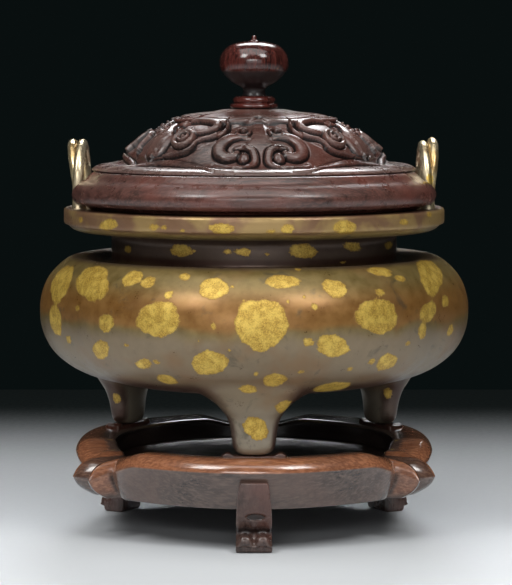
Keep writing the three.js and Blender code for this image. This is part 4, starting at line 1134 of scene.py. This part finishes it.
def rail(name, turn, node):
    half = np.concatenate([np.linspace(0, 43, 58), np.linspace(43, VALLEY, 34)[1:], np.linspace(VALLEY, CREST, 20)[1:],
                           CREST + 5.38 * np.linspace(0, 1, 26)[1:] ** 1.2])
    degs = np.concatenate([-half[:0:-1], half])
    rings = []
    for d in degs:
        sec = outline(rail_section(d), {0: 1.6, 3: 0.9, 8: 1.6, 9: 1.2, 10: 0.6, 11: 0.6, 12: 0.8, 14: 1.0}, per=4, closed=True, bend=3)
        a = (d + turn) * RAD
        rings.append(np.column_stack([sec[:, 0] * math.sin(a), -sec[:, 0] * math.cos(a), sec[:, 1]]))
    n = len(rings[0])
    v = np.concatenate(rings)
    q = grid_faces(len(rings), n, False, True)
    caps = [np.arange(n)[None, ::-1], ((len(rings) - 1) * n + np.arange(n))[None]]
    ob = build(name, v, [q, *caps], 26)
    # painted light: the top and the ears' inner facets get a lit orange-brown; painted shade darkens the inner wall and
    # the back of the rail
    rad_ = np.hypot(v[:, 0], v[:, 1])
    widest = np.repeat([keel_radius(abs(d)) for d in degs], n)
    keel_z = np.repeat([rail_section(d)[3][1] for d in degs], n)
    away = np.abs(np.repeat(degs, n))
    up = smooth01((v[:, 2] - keel_z + 0.5 + 5 * smooth01((away - 40) / 11)) / (1.2 + 9 * smooth01((away - 38) / 12))) * smooth01((rad_ - 148) / 6)
    up *= 1 - 0.75 * smooth01((away - CREST - 0.2) / 0.8)
    # painted light on the ears' inner facets
    facet = smooth01((away - VALLEY - 0.1) / 0.5) * smooth01((CREST + 0.2 - away) / 0.5)
    up = np.maximum(up, 0.85 * facet * smooth01((v[:, 2] - 42) / 8))
    float_attribute(ob, "painted_light", up)
    # painted shade on the inner wall, and on the back half of the rail
    dark = 0.8 * smooth01((145 - rad_) / 5) * smooth01((86.8 - v[:, 2]) / 3)
    float_attribute(ob, "shade", np.maximum(dark, 0.88 * smooth01((v[:, 1] - 60) / 40) * smooth01((181 - rad_) / 14)))
    return finish_piece(ob, MAT_RAIL, "stand_wood", "stand", node)


rail("stand_rail_front_carved", 0, "stand_rail_front")
rail("stand_rail_right_carved", 120, "stand_rail_right")
rail("stand_rail_left_carved", 240, "stand_rail_left")


# ------------------------------------------------------------------ stand legs with cleft toes
LEG_SIDE = [(182.5, 68.6), (181.5, 60), (177, 48), (171, 36), (165.3, 26), (161.4, 20), (161.6, 17.6), (164.6, 16.2), (169.4, 16.8),
            (173.2, 15.4), (175.0, 12), (174.2, 8.6), (171.4, 6.6), (169.3, 5.6), (168.8, 2), (166.8, 0), (148, 0), (146, 3), (146, 12),
            (148.5, 26), (151, 40), (154, 54), (156, 68.6)]
leg_field = Field(outline(LEG_SIDE, {0: 1.0, 13: 0.5, 15: 0.8, 16: 1.6, 22: 1.4}, per=5, closed=True, bend=4), (134, -8), (196, 80), 0.4)


def stand_leg_fn(u, rad_, z_):
    """Leg with two round toes over a flat base: the toes part at a cleft, and round off to the sides."""
    toe = smooth01((rad_ - 157) / 6) * smooth01((z_ - 4.5) / 4) * smooth01((30 - z_) / 8)
    drop = 5.0 * np.exp(-(u / 2.9) ** 2) + 4.6 * smooth01((np.abs(u) - 10.5) / 7) - 0.8 * np.exp(-((np.abs(u) - 8.6) / 3.4) ** 2)
    back = 2.6 * np.exp(-(u / 2.6) ** 2) + 2.4 * smooth01((np.abs(u) - 12.5) / 5)
    d2 = leg_field(rad_ + toe * back * smooth01((z_ - 5) / 4), z_ + toe * drop)
    half = np.interp(z_, [0, 6, 10, 26, 45, 63, 68.6], [17.2, 17.4, 17.0, 17.3, 16.4, 14.7, 13.4])
    waist = 0.9 * np.exp(-((z_ - 20.5) / 4.0) ** 2) * smooth01((rad_ - 156) / 6)
    e = np.abs(u) - half + waist
    k = 1.5
    a, b = d2 + k, e + k
    f = np.minimum(np.maximum(a, b), 0) + np.hypot(np.maximum(a, 0), np.maximum(b, 0)) - k
    # shallow sunk oval on the shin
    oval = smooth01((1.15 - np.hypot((u - 1.5) / 9.5, (z_ - 34.5) / 3.6)) / 0.35) * smooth01((rad_ - 157) / 6)
    return f + 1.5 * oval


def stand_leg(name, turn, node):
    step = 0.85
    v, q = surface(lambda x, y, z_: stand_leg_fn(x, -y, z_), (-21, -188, -3), (21, -141, 72), step)
    c, s = math.cos(turn * RAD), math.sin(turn * RAD)
    w = v.copy()
    w[:, 0] = v[:, 0] * c - v[:, 1] * s
    w[:, 1] = v[:, 0] * s + v[:, 1] * c
    w[:, 2] = np.maximum(w[:, 2], 0)
    ob = build(name, w, [q])
    u, out_, z_ = v[:, 0], -v[:, 1], v[:, 2]
    # painted reflection: a dark red oval on the shin; painted shade in the scoop above the toes
    oval = smooth01((1.1 - np.hypot((u - 1.5) / 9.5, (z_ - 34.5) / 3.6)) / 0.3) * smooth01((out_ - 157) / 6)
    scoop = np.exp(-((z_ - 20.5) / 3.4) ** 2) * smooth01((out_ - 154) / 5)
    float_attribute(ob, "shade", np.clip(0.88 * oval + 0.9 * scoop, 0, 1))
    float_attribute(ob, "painted_light", 0.35 * oval)
    return finish_piece(ob, MAT_LEG, "stand_wood", "stand", node)


stand_leg("stand_leg_front_carved", 0, "stand_leg_front")
stand_leg("stand_leg_right_carved", 120, "stand_leg_right")
stand_leg("stand_leg_left_carved", 240, "stand_leg_left")


# ------------------------------------------------------------------ seats under the bronze feet, and the floor panel
def seat(name, turn, node):
    def fn(x, y, z_):
        half_x, r0, r1 = 31.0, 142.2, 158.5
        rad_ = -y
        top = 90.9 + 2.6 * smooth01((np.abs(x) - 18.5) / 6) - 2.2 * smooth01((np.abs(x) - 25) / 6)
        d = np.stack([np.abs(x) - (half_x - 1.2) + 0.010 * (rad_ - 151) ** 2, np.abs(rad_ - (r0 + r1) / 2) - ((r1 - r0) / 2 - 1.2),
                      z_ - (top - 1.2), 87.4 - z_])
        return np.minimum(d.max(0), 0) + np.sqrt((np.maximum(d, 0) ** 2).sum(0)) - 1.2
    v, q = surface(fn, (-35, -163.5, 84), (35, -139.5, 97), 0.75)
    c, s = math.cos(turn * RAD), math.sin(turn * RAD)
    w = v.copy()
    w[:, 0] = v[:, 0] * c - v[:, 1] * s
    w[:, 1] = v[:, 0] * s + v[:, 1] * c
    w[:, 2] = np.maximum(w[:, 2], 86.9)
    return finish_piece(build(name, w, [q]), MAT_SEAT, "stand_wood", "stand", node)


seat("stand_seat_front_block", 0, "stand_seat_front")
seat("stand_seat_right_block", 120, "stand_seat_right")
seat("stand_seat_left_block", 240, "stand_seat_left")

PANEL = [(0, 61.5), (135.5, 61.5), (136.95, 63), (136.95, 66.6), (135.6, 68), (126, 68.2), (122, 67.4), (118, 66.9), (0, 66.9)]
panel = lathe("stand_floor_board", outline(PANEL, {0: 0, 1: 0.6, 2: 0.4, 3: 0.4, 4: 0.4, 8: 0}, per=3, closed=False), 180, 40)
finish_piece(panel, MAT_PANEL, "panel_wood", "stand", "stand_floor_panel")

for name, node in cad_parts.items():
    ob = bpy.data.objects.get(name) if not isinstance(node, bpy.types.Object) else node
    if ob is not None and not ob.hide_render:
        for k in range(max(1, len(ob.material_slots))):
            if ob.material_slots:
                ob.material_slots[k].material = MAT_STAND
            else:
                ob.data.materials.append(MAT_STAND)


# ------------------------------------------------------------------ floor, light and camera
def floor_material():
    g = Graph("studio_floor_pale")
    n = g.noise(g.mm, 0.004, 4, 0.5)
    f = g.noise(g.mm, 0.35, 4, 0.6)
    col = g.mix(n, (0.66, 0.69, 0.72), (0.72, 0.75, 0.78))
    # painted light falloff: the floor darkens gradually from front to back and fades to black behind the object
    y = g.parts(g.mm)[1]
    col = g.mix(g.span(y, 370, 140), (0.0055, 0.0090, 0.0090), col)
    col = g.mix(g.span(y, -140, 220, 0, 0.42), col, (0.0055, 0.0090, 0.0090))
    return g.set(color=col, rough=g.span(f, 0.3, 0.7, 0.65, 0.8), spec=0.15, normal=g.bump(f, 0.04, 0.0001))


fm = bpy.data.meshes.new("studio_floor")
half_w = 3.0
fm.from_pydata([(-half_w, -1.6, 0), (half_w, -1.6, 0), (half_w, 0.44, 0), (-half_w, 0.44, 0)], [], [(0, 1, 2, 3)])
floor = bpy.data.objects.new("studio_floor", fm)
bpy.context.scene.collection.objects.link(floor)
fm.materials.append(floor_material())


def area(name, place, aim, size, power, color=(1, 1, 1), size_y=None, spread=180):
    d = bpy.data.lights.new(name, "AREA")
    d.energy, d.color = power, color
    d.shape = "RECTANGLE"
    d.size, d.size_y = size, size_y or size
    d.spread = spread * RAD
    o = bpy.data.objects.new(name, d)
    o.location = place
    o.rotation_euler = (Vector(aim) - Vector(place)).to_track_quat("-Z", "Y").to_euler()
    bpy.context.scene.collection.objects.link(o)
    return o


area("softbox_top", (-0.08, -0.34, 1.22), (-0.02, -0.12, 0.05), 1.30, 8.0, (1.0, 0.995, 0.98), 0.85)
area("softbox_left", (-0.56, -0.66, 0.92), (-0.02, -0.05, 0.09), 0.34, 5.0, (1.0, 0.995, 0.98), 0.42)
area("softbox_right", (0.50, -0.66, 0.92), (0.02, -0.05, 0.09), 0.32, 4.6, (1.0, 0.995, 0.98), 0.38)
area("key_front", (-0.15, -1.30, 0.50), (0.0, -0.04, 0.13), 0.80, 0.30, (1.0, 0.99, 0.98), 0.12, 60)
area("fill_front", (0.0, -1.90, 0.40), (0.0, 0.0, 0.12), 1.80, 4.2, (0.98, 0.99, 1.0), 0.75)
area("back_high", (0.05, 0.85, 0.92), (0.0, 0.0, 0.16), 0.70, 0.60, (0.96, 0.98, 1.0), 0.20, 36)

world = bpy.data.worlds.new("studio")
world.use_nodes = True
bg = world.node_tree.nodes["Background"]
bg.inputs[0].default_value = (0.0028, 0.0048, 0.0048, 1)
bg.inputs[1].default_value = 1.0
bpy.context.scene.world = world
bpy.context.scene.view_settings.view_transform = "Standard"
bpy.context.scene.view_settings.look = "None"

cam = bpy.data.cameras.new("camera")
cam.lens = 36 * CAM_F / 585
cam.sensor_width = 36
cam.clip_start, cam.clip_end = 0.05, 20
co = bpy.data.objects.new("camera", cam)
co.location = (CAM_X * UNIT, AXIS_Y - CAM_D * UNIT, CAM_H * UNIT)
co.rotation_euler = ((90 - CAM_TILT) * RAD, 0, 0)
bpy.context.scene.collection.objects.link(co)
bpy.context.scene.camera = co
